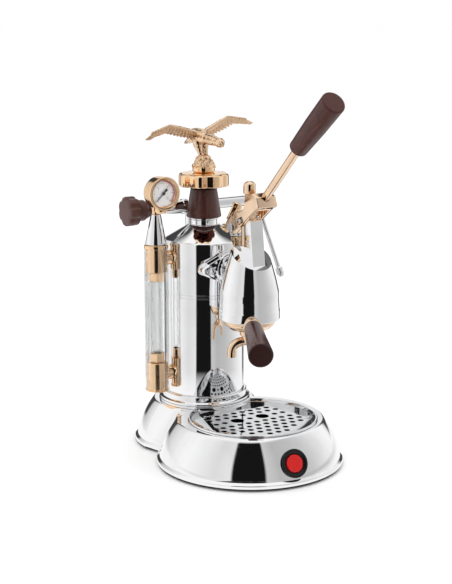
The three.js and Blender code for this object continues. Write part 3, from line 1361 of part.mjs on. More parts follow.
function buildLever() {
  const ear = lever.earRadius;
  const outline = [
    [lever.pivotForward - ear, lever.pivotHeight - lever.earHeel, ear],
    [lever.pivotForward + lever.earToe, lever.pivotHeight - ear, ear],
    [lever.lowForward, lever.lowHeight, lever.cornerRound],
    [lever.frontForward, lever.frontHeight, lever.cornerRound],
    [lever.browForward, lever.browHeight, lever.cornerRound],
    [lever.topForward, lever.topHeight, lever.cornerRound],
    [lever.rearForward, lever.rearHeight, lever.cornerRound],
    [lever.notchForward, lever.notchHeight, ear],
    [lever.backForward, lever.backHeight, ear],
    [lever.pivotForward - ear, lever.pivotHeight + lever.earBack, ear],
  ];
  const blank = sidePlate(outline, lever.plateOuter);
  const channel = solidOf(block(
    at(-lever.plateInner, -lever.crossRear, pivot.z - lever.frontForward),
    at(lever.plateInner, overrun - lever.pivotForward + ear, lever.topHeight + overrun),
  ));
  // The crosspiece is hollowed behind, so that it passes the tongue when the lever is right down
  const relief = sidePlate([
    [lever.crossRear - overrun, lever.reliefRearHeight, 0],
    [lever.crossRear, lever.reliefRearHeight, 0],
    [lever.reliefForward, lever.reliefFrontHeight, 0],
    [lever.lowForward, lever.reliefFrontHeight - overrun * 2, 0],
    [lever.crossRear - overrun, pivot.z, 0],
  ], lever.plateInner);
  const across = lever.plateOuter + overrun;
  const drill = (centre, radius) => bar(centre.clone().setX(-across), centre.clone().setX(across), radius);
  const pivotHole = drill(pivot, lever.pivotRadius + gap);
  const along = at(0, -Math.cos(radians(lever.restAngle)), Math.sin(radians(lever.restAngle)));
  const near = pivot.clone().addScaledVector(along, lever.slotNear + lever.slotHalf);
  const far = pivot.clone().addScaledVector(along, lever.slotFar - lever.slotHalf);
  const slotEnds = [near, far].map((end) => drill(end, lever.slotHalf));
  const middle = near.clone().lerp(far, 0.5);
  const slotBox = new THREE.BoxGeometry(2 * across, near.distanceTo(far), 2 * lever.slotHalf);
  slotBox.rotateX(-radians(lever.restAngle)).translate(0, middle.y, middle.z);
  const rodStart = at(0, -lever.rodStartForward, lever.rodStartHeight);
  const rodEnd = at(0, -lever.rodEndForward, lever.rodEndHeight);
  const rodRun = rodEnd.clone().sub(rodStart).normalize();
  const rodSocket = bar(
    rodStart.clone().addScaledVector(rodRun, -gap),
    rodEnd,
    lever.rodRadius + gap,
    facets.small,
  );
  const holes = joined(pivotHole, ...slotEnds, solidOf(slotBox), rodSocket);
  addAtRim('lever_fork', 'brass', cutBy(blank, channel, relief, holes));
  const handleEnd = at(0, -lever.handleEndForward, lever.handleEndHeight);
  const handleRun = handleEnd.clone().sub(rodEnd);
  const length = handleRun.length();
  const rodTip = rodEnd.clone().addScaledVector(handleRun.clone().normalize(), lever.rodSeat);
  const rodPath = joined(
    bar(rodStart, rodEnd, lever.rodRadius, facets.small),
    bar(rodEnd, rodTip, lever.rodRadius, facets.small),
    ellipsoid(rodEnd, at(lever.rodRadius, lever.rodRadius, lever.rodRadius), up),
  );
  addAtRim('lever_rod', 'brass', rodPath);
  const grip = solidOf(aimed(turned([
    [0, 0],
    [lever.handleStartRadius, 0, lever.handleRound],
    [lever.handleSwell, lever.swellReach, length],
    [lever.handleEndRadius, length, lever.handleRound],
    [0, length],
  ], facets.medium), rodEnd, handleRun));
  const roomEnd = rodTip.clone().addScaledVector(handleRun.normalize(), gap);
  const rodRoom = joined(
    bar(rodStart, rodEnd, lever.rodRadius + gap, facets.small),
    bar(rodEnd, roomEnd, lever.rodRadius + gap, facets.small),
    ellipsoid(rodEnd, at(lever.rodRadius + gap, lever.rodRadius + gap, lever.rodRadius + gap), up),
  );
  addAtRim('lever_handle', 'wood', grip.subtract(rodRoom));
  const headStart = lever.plateOuter + gap;
  const rivet = turned([
    [0, -headStart - lever.headThickness],
    [lever.headRadius, -headStart - lever.headThickness],
    [lever.headRadius, -headStart],
    [lever.pivotRadius, -headStart],
    [lever.pivotRadius, headStart],
    [lever.headRadius, headStart],
    [lever.headRadius, headStart + lever.headThickness],
    [0, headStart + lever.headThickness],
  ], facets.small);
  addAtRim('fulcrum_pin', 'steel', solidOf(aimed(rivet, pivot, at(1, 0, 0))));
}

function buildPortafilter() {
  const turn = -radians(portafilter.turnAngle);
  const seat = (geometry) => geometry.rotateZ(turn).translate(0, -group.forward, 0);
  const cup = ringTurned([
    [portafilter.drain, portafilter.floor - portafilter.drop],
    [portafilter.drain, -portafilter.drop],
    [portafilter.bossBore, -portafilter.drop],
    [portafilter.bossBore, -portafilter.bossDrop],
    [portafilter.bossRadius, -portafilter.bossDrop, portafilter.bossRound],
    [portafilter.bossRadius, -portafilter.drop],
    [portafilter.radius, -portafilter.drop, portafilter.bottomRound],
    [portafilter.radius, -portafilter.shoulderDrop],
    [portafilter.neckRadius, -portafilter.shoulderDrop],
    [portafilter.neckRadius, portafilter.top],
    [portafilter.bore, portafilter.top],
    [portafilter.bore, portafilter.floor - portafilter.drop],
  ], facets.medium);
  const lugRing = ringTurned([
    [portafilter.bore + portafilter.root, portafilter.lugBottom],
    [portafilter.lugRadius, portafilter.lugBottom],
    [portafilter.lugRadius, portafilter.lugBottom + portafilter.lugHeight],
    [portafilter.bore + portafilter.root, portafilter.lugBottom + portafilter.lugHeight],
  ], facets.medium);
  const lugReach = portafilter.lugRadius + overrun;
  const lugTop = portafilter.lugBottom + portafilter.lugHeight;
  const lugBox = block(
    at(-lugReach, -portafilter.lugHalf, portafilter.lugBottom - overrun),
    at(lugReach, portafilter.lugHalf, lugTop + overrun),
  );
  const lugs = solidOf(seat(lugRing)).intersect(solidOf(seat(lugBox)));
  const start = at(0, -portafilter.handleStart, -portafilter.handleStartDrop);
  const end = at(0, -portafilter.handleEnd, -portafilter.handleEndDrop);
  const run = end.clone().sub(start);
  const direction = run.clone().normalize();
  const armBlock = block(
    at(-portafilter.armHalf, -portafilter.armEnd, -portafilter.armBottomDrop),
    at(portafilter.armHalf, -portafilter.bore - portafilter.root, -portafilter.armTopDrop),
  );
  const pad = aimed(turned([
    [0, -portafilter.padThickness],
    [portafilter.padRadius, -portafilter.padThickness],
    [portafilter.padRadius, 0],
    [portafilter.shankRadius, 0],
    [portafilter.shankRadius, portafilter.shankLength],
    [0, portafilter.shankLength],
  ], facets.small), start, direction);
  addAtRim('portafilter_body', 'chrome', joined(
    solidOf(seat(cup)),
    lugs,
    solidOf(seat(armBlock)),
    solidOf(seat(pad)),
  ));
  const bore = portafilter.shankRadius + gap;
  const ferrule = ringTurned([
    [bore, gap],
    [portafilter.ferruleRadius, gap, portafilter.ferruleRound],
    [portafilter.ferruleRadius, portafilter.ferruleLength, portafilter.ferruleRound],
    [bore, portafilter.ferruleLength],
  ], facets.medium);
  addAtRim('portafilter_ferrule', 'brass', solidOf(seat(aimed(ferrule, start, direction))));
  const gripStart = portafilter.ferruleLength + gap;
  const length = run.length();
  const grip = ringTurned([
    [0, portafilter.shankLength + gap],
    [bore, portafilter.shankLength + gap],
    [bore, gripStart],
    [portafilter.handleRadius, gripStart, portafilter.handleRound],
    [portafilter.handleWaistRadius, portafilter.waistReach, length],
    [portafilter.handleEndRadius, length, portafilter.handleRound],
    [0, length],
  ], facets.medium);
  addAtRim('portafilter_handle', 'wood', solidOf(seat(aimed(grip, start, direction))));
  const cupBottom = portafilter.floor - portafilter.drop;
  const basketTop = portafilter.top + gap;
  const pot = ringTurned([
    [0, -basket.drop],
    [basket.radius, -basket.drop, basket.round],
    [basket.radius, basketTop],
    [basket.rimRadius, basketTop],
    [basket.rimRadius, basketTop + basket.rimThickness / 2],
    [basket.radius - basket.wall, basketTop + basket.rimThickness / 2],
    [basket.radius - basket.wall, basket.wall - basket.drop, basket.round],
    [0, basket.wall - basket.drop],
  ], facets.medium);
  const drain = bar(
    at(0, -group.forward, cupBottom - overrun),
    at(0, -group.forward, basket.wall - basket.drop + overrun),
    screen.holeRadius,
    facets.tiny,
  );
  addAtRim('filter_basket', 'steel', solidOf(seat(pot)).subtract(drain));
  buildSpout(seat);
}

// The twin spout: one arched tube across the handle, open at both ends, under a threaded hub
function buildSpout(seat) {
  const hubTop = -portafilter.bossDrop - gap;
  const arch = (drop) => {
    const path = new THREE.CurvePath();
    const left = at(-spout.outletAcross, 0, -spout.outletDrop - drop);
    const right = at(spout.outletAcross, 0, -spout.outletDrop - drop);
    const crest = -spout.crestDrop;
    const shoulder = crest - spout.bend;
    path.add(new THREE.LineCurve3(left, at(-spout.outletAcross, 0, shoulder)));
    path.add(new THREE.QuadraticBezierCurve3(
      at(-spout.outletAcross, 0, shoulder),
      at(-spout.outletAcross, 0, crest),
      at(0, 0, crest),
    ));
    path.add(new THREE.QuadraticBezierCurve3(
      at(0, 0, crest),
      at(spout.outletAcross, 0, crest),
      at(spout.outletAcross, 0, shoulder),
    ));
    path.add(new THREE.LineCurve3(at(spout.outletAcross, 0, shoulder), right));
    return path;
  };
  const hub = turned([
    [0, -spout.crestDrop - spout.tubeRadius / 2],
    [spout.hubRadius, -spout.crestDrop - spout.tubeRadius / 2],
    [spout.hubRadius, hubTop, spout.hubRound],
    [spout.threadRadius, hubTop],
    [spout.threadRadius, hubTop + spout.threadHeight],
    [0, hubTop + spout.threadHeight],
  ], facets.small);
  const bore = bar(
    at(0, 0, -spout.crestDrop),
    at(0, 0, hubTop + spout.threadHeight + overrun),
    spout.tubeRadius - spout.tubeWall,
    facets.tiny,
  );
  const outside = joined(swept(arch(0), spout.tubeRadius, spout.steps), solidOf(hub));
  const inside = swept(arch(overrun), spout.tubeRadius - spout.tubeWall, spout.steps);
  const whole = geometryOf(cutBy(outside, inside, bore));
  addAtRim('double_spout', 'chrome', solidOf(seat(whole)));
}

buildBase();
buildPan();
buildFeet();
buildTray();
buildGrille();
buildSwitch();
buildGland();
buildBoiler();
buildCollar();
buildElement();
buildCap();
buildEagle();
buildSight();
buildGauge();
buildTap();
buildWand();
buildValve();
buildGroup();
buildPiston();
buildLever();
buildPortafilter();

// The origin goes to the middle of the footprint box, on the surface that the feet stand on
const box = new THREE.Box3().setFromObject(machine, true);
const centre = box.getCenter(new THREE.Vector3());
machine.position.set(-centre.x, -centre.y, -box.min.z);
machine.updateMatrixWorld(true);

export default machine;
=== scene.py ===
# %% [markdown]
# # A lever espresso machine, dressed around its CAD frame
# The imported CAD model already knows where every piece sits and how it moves, but it is made of flat facets.
# This lesson gives each visible piece a smooth mesh, a procedural material and a ride on its CAD body.
# Sizes are written in millimetres from the boiler's axis, because the machine is laid out around it.

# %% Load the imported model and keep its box
import json
from math import asin, atan, atan2, copysign, cos, degrees, pi, radians, sin, sqrt, tan

import bmesh
import bpy
from mathutils import Matrix, Vector, noise

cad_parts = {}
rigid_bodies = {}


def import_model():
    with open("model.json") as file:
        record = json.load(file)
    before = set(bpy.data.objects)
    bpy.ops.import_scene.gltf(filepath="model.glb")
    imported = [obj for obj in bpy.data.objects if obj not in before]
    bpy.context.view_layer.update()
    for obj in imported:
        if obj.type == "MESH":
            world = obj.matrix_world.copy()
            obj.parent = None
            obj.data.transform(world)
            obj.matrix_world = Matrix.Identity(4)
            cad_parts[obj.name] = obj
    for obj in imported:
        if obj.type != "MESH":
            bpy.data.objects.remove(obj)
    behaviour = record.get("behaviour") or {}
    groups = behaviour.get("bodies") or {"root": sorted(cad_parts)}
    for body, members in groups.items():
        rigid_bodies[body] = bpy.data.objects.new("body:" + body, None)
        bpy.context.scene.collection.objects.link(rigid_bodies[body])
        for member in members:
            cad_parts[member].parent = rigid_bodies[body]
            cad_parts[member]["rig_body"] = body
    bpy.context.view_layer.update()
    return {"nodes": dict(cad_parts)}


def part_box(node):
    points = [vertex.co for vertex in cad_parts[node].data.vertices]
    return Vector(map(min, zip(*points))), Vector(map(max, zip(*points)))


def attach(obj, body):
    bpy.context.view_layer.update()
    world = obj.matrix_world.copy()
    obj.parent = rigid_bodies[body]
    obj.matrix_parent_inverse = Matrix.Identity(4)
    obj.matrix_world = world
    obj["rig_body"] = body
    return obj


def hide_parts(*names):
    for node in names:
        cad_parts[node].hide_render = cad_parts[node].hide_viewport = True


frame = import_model()

# %% [markdown]
# ## Where things are
# The boiler's axis is the middle of its foot ring, and the group's axis is the middle of its piston.
# Both are read from the CAD nodes, so the scene needs no fitting by eye.

# %% Axes and units
MM = 0.001
UP, RIGHT, BACK = Vector((0, 0, 1)), Vector((1, 0, 0)), Vector((0, 1, 0))
LEFT, FORWARD = -RIGHT, -BACK


def node_middle(node):
    low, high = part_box(node)
    return (low + high) / 2


boiler_y = node_middle("boiler_collar").y
group_forward = (boiler_y - node_middle("piston").y) / MM
print(f"boiler axis at y {boiler_y:.5f} m, group {group_forward:.1f} mm in front of it")

# %% [markdown]
# ## Shapes as plain lists
# A shape here is a pair: a list of points and a list of faces. Turning, sweeping and lofting all make such
# pairs, so they can be moved, joined and cut before anything becomes a Blender object.

# %% Corners with fillets become a line of points
def rounded(corners, closed=False, steps=6):
    line = []
    count = len(corners)
    for i, corner in enumerate(corners):
        here = Vector(corner[:2])
        radius = corner[2] if len(corner) > 2 else 0
        if not radius or not (closed or 0 < i < count - 1):
            line.append(here)
            continue
        back = Vector(corners[i - 1][:2]) - here
        ahead = Vector(corners[(i + 1) % count][:2]) - here
        half = back.angle(ahead) / 2
        reach = min(radius / tan(half), back.length / 2, ahead.length / 2)
        centre = here + (back.normalized() + ahead.normalized()).normalized() * reach / cos(half)
        start = here + back.normalized() * reach - centre
        end = here + ahead.normalized() * reach - centre
        turn = start.angle_signed(end)
        for k in range(steps + 1):
            line.append(centre + Matrix.Rotation(-turn * k / steps, 2) @ start)
    return line


# %% The second number of a line of points, read off at a place along it, and the angles of a full turn
def read_off(line, place):
    for (a, low), (b, high) in zip(line, line[1:]):
        if place <= b:
            return low + (high - low) * (place - a) / (b - a)


def around(sides):
    return [2 * pi * k / sides for k in range(sides)]


# %% A profile turned about the upright axis, with more sides on wider pieces
wide_sides, broad_sides, round_sides, small_sides, thin_sides, hole_sides = 144, 128, 96, 64, 48, 32
on_axis = 1e-6


def turned(corners, sides=round_sides, ring=False, steps=6):
    points, rows, faces = [], [], []
    for reach, height in rounded(corners, ring, steps):
        if reach < on_axis:
            rows.append([len(points)])
            points.append(Vector((0, 0, height)))
            continue
        rows.append(list(range(len(points), len(points) + sides)))
        points += [Vector((reach * cos(angle), reach * sin(angle), height)) for angle in around(sides)]
    if ring:
        rows.append(rows[0])
    for low, high in zip(rows, rows[1:]):
        for k in range(sides):
            step = k + 1
            face = [low[k % len(low)], low[step % len(low)], high[step % len(high)], high[k % len(high)]]
            face = list(dict.fromkeys(face))
            if len(face) > 2:
                faces.append(face)
    return points, faces


def hollow(corners, sides=round_sides):
    return turned(corners, sides, True)


def hexagon(corners):
    return turned(corners, 6, False, 1)


# %% Rings of equal counts skinned in order
def lofted(rings):
    count, last = len(rings[0]), len(rings) - 1
    points = [point.copy() for ring in rings for point in ring]
    faces = []
    for low in range(0, last * count, count):
        for k in range(count):
            step = (k + 1) % count
            faces.append([low + k, low + step, low + count + step, low + count + k])
    faces.append(list(range(count))[::-1])
    faces.append([last * count + k for k in range(count)])
    return points, faces


# %% A tube along a path, with a radius for each point
def swept(path, radii, sides):
    if not isinstance(radii, (list, tuple)):
        radii = [radii] * len(path)
    rings = []
    across = None
    for i, point in enumerate(path):
        run = (path[min(i + 1, len(path) - 1)] - path[max(i - 1, 0)]).normalized()
        if across is None:
            across = run.orthogonal().normalized()
        across = (across - run * across.dot(run)).normalized()
        other = run.cross(across)
        rings.append([point + radii[i] * (cos(angle) * across + sin(angle) * other)
                      for angle in around(sides)])
    return lofted(rings)


def on_curve(start, corner, end, share):
    return (1 - share) ** 2 * start + 2 * share * (1 - share) * corner + share ** 2 * end


# %% Bars, plates and balls
def moved(shape, matrix):
    points, faces = shape
    return [matrix @ point for point in points], faces


def shifted(shape, x, y, z):
    return moved(shape, Matrix.Translation((x, y, z)))


def aimed(shape, start, run):
    turn = UP.rotation_difference(run).to_matrix().to_4x4()
    return moved(shape, Matrix.Translation(start) @ turn)


def bar(start, end, radius, sides=thin_sides):
    run = Vector(end) - Vector(start)
    return aimed(turned([(0, 0), (radius, 0), (radius, run.length), (0, run.length)], sides), start, run)


def crossbar(half, spot, radius):
    return bar((-half, spot.y, spot.z), (half, spot.y, spot.z), radius)


def ball(centre, half, run=UP, sides=24):
    profile = [(sin(pi * k / sides), -cos(pi * k / sides)) for k in range(sides + 1)]
    profile[0], profile[-1] = (0, -1), (0, 1)
    return aimed(moved(turned(profile, sides * 2), Matrix.Diagonal((*half, 1))), centre, run)


def side_plate(corners, half, steps=6):
    line = rounded(corners, True, steps)
    return lofted([[Vector((x, -forward, height)) for forward, height in line] for x in (-half, half)])


def block(low, high):
    plan = ((low[0], low[1]), (high[0], low[1]), (high[0], high[1]), (low[0], high[1]))
    return lofted([[Vector((x, y, z)) for x, y in plan] for z in (low[2], high[2])])


def joined(*shapes):
    points, faces = [], []
    for more, more_faces in shapes:
        faces += [[k + len(points) for k in face] for face in more_faces]
        points += more
    return points, faces


# %% [markdown]
# ## From a shape to a Blender piece
# Cuts are made with the Boolean modifier on scratch objects, and the result is read back as a shape. A
# finished piece keeps its object at the origin, with its place in its mesh. Its edges over 35 degrees stay
# sharp, unless it names another angle.

# %% Scratch meshes, cuts and joins
scene = bpy.context.scene
weld_distance = 0.0005


def mesh_of(shape, name="scratch"):
    mesh = bpy.data.meshes.new(name)
    points, faces = shape
    mesh.from_pydata(points, [], faces)
    bm = bmesh.new()
    bm.from_mesh(mesh)
    bmesh.ops.remove_doubles(bm, verts=bm.verts, dist=weld_distance)
    bmesh.ops.recalc_face_normals(bm, faces=bm.faces)
    bm.to_mesh(mesh)
    bm.free()
    return mesh


def placed(name, shape):
    thing = bpy.data.objects.new(name, mesh_of(shape, name))
    scene.collection.objects.link(thing)
    return thing


def read_back(thing):
    bpy.context.view_layer.update()
    graph = bpy.context.evaluated_depsgraph_get()
    mesh = bpy.data.meshes.new_from_object(thing.evaluated_get(graph))
    shape = [vertex.co.copy() for vertex in mesh.vertices], [list(face.vertices) for face in mesh.polygons]
    bpy.data.meshes.remove(mesh)
    return shape


def combined(shape, others, operation):
    body = placed("scratch", shape)
    tools = []
    for other in others:
        tool = placed("scratch", other)
        step = body.modifiers.new("step", "BOOLEAN")
        step.operation, step.solver, step.object = operation, "EXACT", tool
        tools.append(tool)
    result = read_back(body)
    for thing in [body, *tools]:
        bpy.data.objects.remove(thing)
    return result


def cut(shape, *tools):
    return combined(shape, tools, "DIFFERENCE")


def welded(shape, *more):
    return combined(shape, more, "UNION")


# %% The finished piece rides on the body of the CAD node that it replaces, or on a named body
def piece(name, shape, material, nodes, body=None, sharp=35):
    thing = placed(name, shape)
    thing.data.transform(Matrix.Translation((0, boiler_y, 0)) @ Matrix.Scale(MM, 4))
    thing.data.shade_smooth()
    thing.data.set_sharp_from_angle(angle=radians(sharp))
    thing.data.materials.append(material)
    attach(thing, body or frame["nodes"][nodes[0]]["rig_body"])
    if nodes:
        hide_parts(*nodes)


# %% [markdown]
# ## The studio
# The photograph has a white studio with one dark gap between two large soft panels, and two narrower gaps
# behind the machine. Chrome is a mirror, so the gaps draw the black band down the boiler, the bell and the
# base, and the dark ovals on the boiler's cone. A ring of light that only reflections can see carries them,
# and the plain lamps and the world do the lighting.

# %% Camera at the photograph's angle, found by matching its ellipses and uprights
camera_data = bpy.data.cameras.new("camera")
camera = bpy.data.objects.new("camera", camera_data)
scene.collection.objects.link(camera)
camera.location = (-0.8063, -1.24737, 0.5101)
aim_point = Vector((0.00338, 0.04249, 0.17634))


def face_the_machine(thing):
    thing.rotation_mode = "QUATERNION"
    thing.rotation_quaternion = (aim_point - thing.location).to_track_quat("-Z", "Y")


face_the_machine(camera)
camera_data.lens = 88.3
camera_data.clip_start, camera_data.clip_end = 0.05, 60
scene.camera = camera
print("camera distance", round((aim_point - camera.location).length, 4))

# %% A node's inputs are each set to a value, or fed by a socket of another node
def feed(tree, node, inputs):
    for title, value in inputs.items():
        if isinstance(value, bpy.types.NodeSocket):
            tree.links.new(value, node.inputs[title])
        else:
            node.inputs[title].default_value = value
    return node


def made(tree, kind, inputs={}, **traits):
    node = tree.nodes.new(kind)
    for trait, value in traits.items():
        setattr(node, trait, value)
    return feed(tree, node, inputs)


# %% World and lamps
scene.view_settings.view_transform = "Standard"
world = bpy.data.worlds.new("studio")
scene.world = world
world.use_nodes = True
feed(world.node_tree, world.node_tree.nodes["Background"], {"Color": (1, 1, 1, 1), "Strength": 1.0})
for name, place, size, power in (("left_panel", (-2.2, -0.9, 1.6), (1.4, 1.8), 9),
                                 ("right_panel", (1.3, -2.0, 1.5), (1.2, 1.8), 6),
                                 ("top_panel", (0.1, 0.3, 2.6), (1.8, 1.8), 7)):
    panel = bpy.data.lights.new(name, "AREA")
    panel.shape, panel.size, panel.size_y, panel.energy = "RECTANGLE", *size, power
    lamp = bpy.data.objects.new(name, panel)
    scene.collection.objects.link(lamp)
    lamp.location = place
    face_the_machine(lamp)
    lamp.visible_glossy = False
    print(name, "at", place, "with", power, "watts")


# %% [markdown]
# The floor is a plain white sheet under the feet. It is lit to white by the same light as the machine, so the
# only thing that shows on it is the soft shadow where the base comes close. Mirrors see the studio's own
# brightness on it instead, which is stored on its points for each bearing.

# %% How bright the studio is, by the turn in degrees from the camera's own bearing
camera_bearing = degrees(atan2(camera.location.y - boiler_y, camera.location.x))
studio_levels = [(-180, 0.9), (-169, 0.8), (-166, 0.05), (-146, 0.06), (-141, 0.6), (-130, 0.75),
                 (-112, 0.95), (-88, 1.0), (-60, 0.86), (-44, 0.76), (-24, 0.84), (-21, 0.008), (17, 0.008),
                 (20, 0.62), (36, 0.5), (60, 0.54), (80, 0.64), (104, 0.84), (130, 1.0), (138, 0.9),
                 (145, 0.06), (164, 0.05), (168, 0.8), (180, 0.9)]


# A row of the sheet is its reach and height in metres, and how much of the gaps it shows
def studio_sheet(name, rows, material):
    sides = 360
    rings = []
    for reach, height, _ in rows:
        bearings = [radians(camera_bearing + k - 180) for k in range(sides)]
        rings.append([Vector((reach * cos(bearing), boiler_y + reach * sin(bearing), height))
                      for bearing in bearings])
    points, faces = lofted(rings)
    sheet = placed(name, (points, faces[:sides * (len(rows) - 1)]))
    sheet.data.materials.append(material)
    shade = sheet.data.attributes.new("level", "FLOAT", "POINT")
    for vertex in sheet.data.vertices:
        away = Vector((vertex.co.x, vertex.co.y - boiler_y))
        turn = degrees(atan2(away.y, away.x)) - camera_bearing
        kept = min(rows, key=lambda row: abs(row[0] - away.length) + abs(row[1] - vertex.co.z))[2]
        level = read_off(studio_levels, (turn + 180) % 360 - 180)
        shade.data[vertex.index].value = 1 - kept * (1 - level)
    return sheet


# %% A material to start from, and light that takes its strength from the sheet
def plain_material(name, inputs):
    material = bpy.data.materials.new(name)
    material.use_nodes = True
    tree = material.node_tree
    return material, tree, feed(tree, tree.nodes["Principled BSDF"], inputs)


def surface(tree, shader):
    feed(tree, tree.nodes["Material Output"], {"Surface": shader})


def glow_of(tree):
    level = made(tree, "ShaderNodeAttribute", attribute_name="level")
    return made(tree, "ShaderNodeEmission", {"Strength": level.outputs["Fac"]}).outputs["Emission"]


# %% The floor
floor_material, floor_tree, floor_shader = plain_material(
    "floor sheet", {"Base Color": (1, 1, 1, 1), "Roughness": 0.9, "Specular IOR Level": 0.1})
ray = made(floor_tree, "ShaderNodeLightPath").outputs
mirror_ray = made(floor_tree, "ShaderNodeMath", {0: ray["Is Glossy Ray"], 1: ray["Is Transmission Ray"]},
                  operation="MAXIMUM")
seen = made(floor_tree, "ShaderNodeMixShader",
            {"Fac": mirror_ray.outputs[0], 1: floor_shader.outputs["BSDF"], 2: glow_of(floor_tree)})
surface(floor_tree, seen.outputs["Shader"])
floor_centre = 0.001
studio_sheet("floor", [(floor_centre, 0, 0), (0.2, 0, 0), (0.3, 0, 1), (3, 0, 1), (14, 0, 1)],
             floor_material)

# %% The ring of light
ring_material, ring_tree, ring_shader = plain_material("studio ring", {})
ring_tree.nodes.remove(ring_shader)
surface(ring_tree, glow_of(ring_tree))
studio_ring = studio_sheet("studio_ring", [(3, 0.01, 1), (3, 4.0, 1), (3, 5.4, 0)], ring_material)
for kind in ("camera", "diffuse", "transmission", "shadow", "volume_scatter"):
    setattr(studio_ring, "visible_" + kind, False)
print("camera bearing", round(camera_bearing, 1))

# %% [markdown]
# ## Shared shader groups
# Marks that many materials share are written once as node groups: soft smudges and fine scratches, brushed
# lines, and wood grain. A group only gives masks and heights, and each material keeps its own shader.

# %% Groups, noise, ranges and stretched vectors
def new_group(name, values, outputs):
    group = bpy.data.node_groups.new(name, "ShaderNodeTree")
    group.interface.new_socket("Vector", in_out="INPUT", socket_type="NodeSocketVector")
    for title, value in values.items():
        socket = group.interface.new_socket(title, in_out="INPUT", socket_type="NodeSocketFloat")
        socket.default_value = value
    for title in outputs:
        group.interface.new_socket(title, in_out="OUTPUT", socket_type="NodeSocketFloat")
    return group, group.nodes.new("NodeGroupInput").outputs, group.nodes.new("NodeGroupOutput")


def noise_in(tree, vector, scale, detail=2.0, rough=0.5):
    inputs = {"Vector": vector, "Scale": scale, "Detail": detail, "Roughness": rough}
    return made(tree, "ShaderNodeTexNoise", inputs).outputs["Fac"]


def span(tree, value, low, high, to_low=0.0, to_high=1.0):
    inputs = {"Value": value, "From Min": low, "From Max": high, "To Min": to_low, "To Max": to_high}
    return made(tree, "ShaderNodeMapRange", inputs).outputs["Result"]


def stretched(tree, vector, scale=(1, 1, 1), turn=(0, 0, 0)):
    inputs = {"Vector": vector, "Rotation": turn, "Scale": scale}
    return made(tree, "ShaderNodeMapping", inputs).outputs["Vector"]


def multiplied(tree, a, b):
    return made(tree, "ShaderNodeMath", {0: a, 1: b}, operation="MULTIPLY").outputs["Value"]


# %% Handling marks: smudges, hairline scratches and specks
marks_group, marks_in, marks_out = new_group(
    "handling marks", {"Smudge Scale": 26.0}, ["Smudges", "Scratches", "Specks"])
marked = marks_in["Vector"]
smudges = noise_in(marks_group, marked, marks_in["Smudge Scale"], 4.0, 0.55)
hair = stretched(marks_group, marked, (260, 1900, 420), (0.4, 0.7, 0.2))
specks = noise_in(marks_group, marked, 2400.0, 1.0)
feed(marks_group, marks_out, {
    "Smudges": span(marks_group, smudges, 0.48, 0.7),
    "Scratches": span(marks_group, noise_in(marks_group, hair, 1.0, 1.0), 0.6, 0.8),
    "Specks": span(marks_group, specks, 0.5, 0.9)})

# %% Brushed lines run along the second axis of the vector that comes in
brush_group, brush_in, brush_out = new_group("brushed lines", {}, ["Lines", "Patches"])
brush_way = stretched(brush_group, brush_in["Vector"], (2600, 60, 2600))
feed(brush_group, brush_out, {"Lines": noise_in(brush_group, brush_way, 1.0, 3.0),
                              "Patches": noise_in(brush_group, brush_in["Vector"], 40.0)})

# %% Wood grain runs along its third axis, and sways a little
grain_group, grain_in, grain_out = new_group("wood grain", {}, ["Figure", "Pores"])
along_grain = grain_in["Vector"]
sway = made(grain_group, "ShaderNodeTexNoise", {"Vector": along_grain, "Scale": 30.0, "Detail": 1.0})
small = made(grain_group, "ShaderNodeVectorMath", {0: sway.outputs["Color"], "Scale": 0.006},
             operation="SCALE")
swaying = made(grain_group, "ShaderNodeVectorMath", {0: along_grain, 1: small.outputs["Vector"]},
               operation="ADD").outputs["Vector"]
figure = noise_in(grain_group, stretched(grain_group, swaying, (330, 330, 26)), 1.0, 4.0, 0.6)
pores = noise_in(grain_group, stretched(grain_group, swaying, (1900, 1900, 90)), 1.0, 2.0)
feed(grain_group, grain_out, {"Figure": figure, "Pores": span(grain_group, pores, 0.35, 0.62)})
print("shader groups:", [group.name for group in (marks_group, brush_group, grain_group)])

# %% [markdown]
# ## Materials
# Metals keep a constant colour, apart from painted shade low down on the tray and the fluted cover, and get
# their life from roughness and a very small bump. Wood, plastic and rubber vary in colour too. Every texture
# is procedural and reads Object coordinates, in metres.

# %% What the materials share
def object_vector(tree):
    return tree.nodes.new("ShaderNodeTexCoord").outputs["Object"]


def grouped(tree, group, vector, inputs={}):
    return made(tree, "ShaderNodeGroup", {"Vector": vector, **inputs}, node_tree=group).outputs


def bumped(tree, shader, height, strength, distance):
    bump = made(tree, "ShaderNodeBump", {"Height": height, "Strength": strength, "Distance": distance})
    feed(tree, shader, {"Normal": bump.outputs["Normal"]})


def tinted(tree, shader, factor, dark, light):
    mix = made(tree, "ShaderNodeMix", {0: factor, 6: (*dark, 1), 7: (*light, 1)}, data_type="RGBA")
    feed(tree, shader, {"Base Color": mix.outputs[2]})


def roughened(tree, shader, mask, low, high, at_low, at_high):
    feed(tree, shader, {"Roughness": span(tree, mask, low, high, at_low, at_high)})


# %% Polished plate, and plate with painted shade low down
def polished(name, colour, clean, handled, smudge_scale=26.0, worn=0.12):
    material, tree, shader = plain_material(name, {"Metallic": 1.0})
    marks = grouped(tree, marks_group, object_vector(tree), {"Smudge Scale": smudge_scale})
    tinted(tree, shader, marks["Smudges"], colour, [part * 0.93 for part in colour])
    roughened(tree, shader, marks["Smudges"], 0, 1, clean, handled)
    bumped(tree, shader, marks["Scratches"], worn, 0.00002)
    return material


# Under the heights low to high the colour eases into painted shade, a darker colour that stands in for shade
# low on the plate
def split_by_height(material, below, above, low, high):
    tree = material.node_tree
    height = made(tree, "ShaderNodeSeparateXYZ", {0: object_vector(tree)}).outputs["Z"]
    change = span(tree, height, low * MM, high * MM)
    tinted(tree, tree.nodes["Principled BSDF"], change, below, above)
    return material


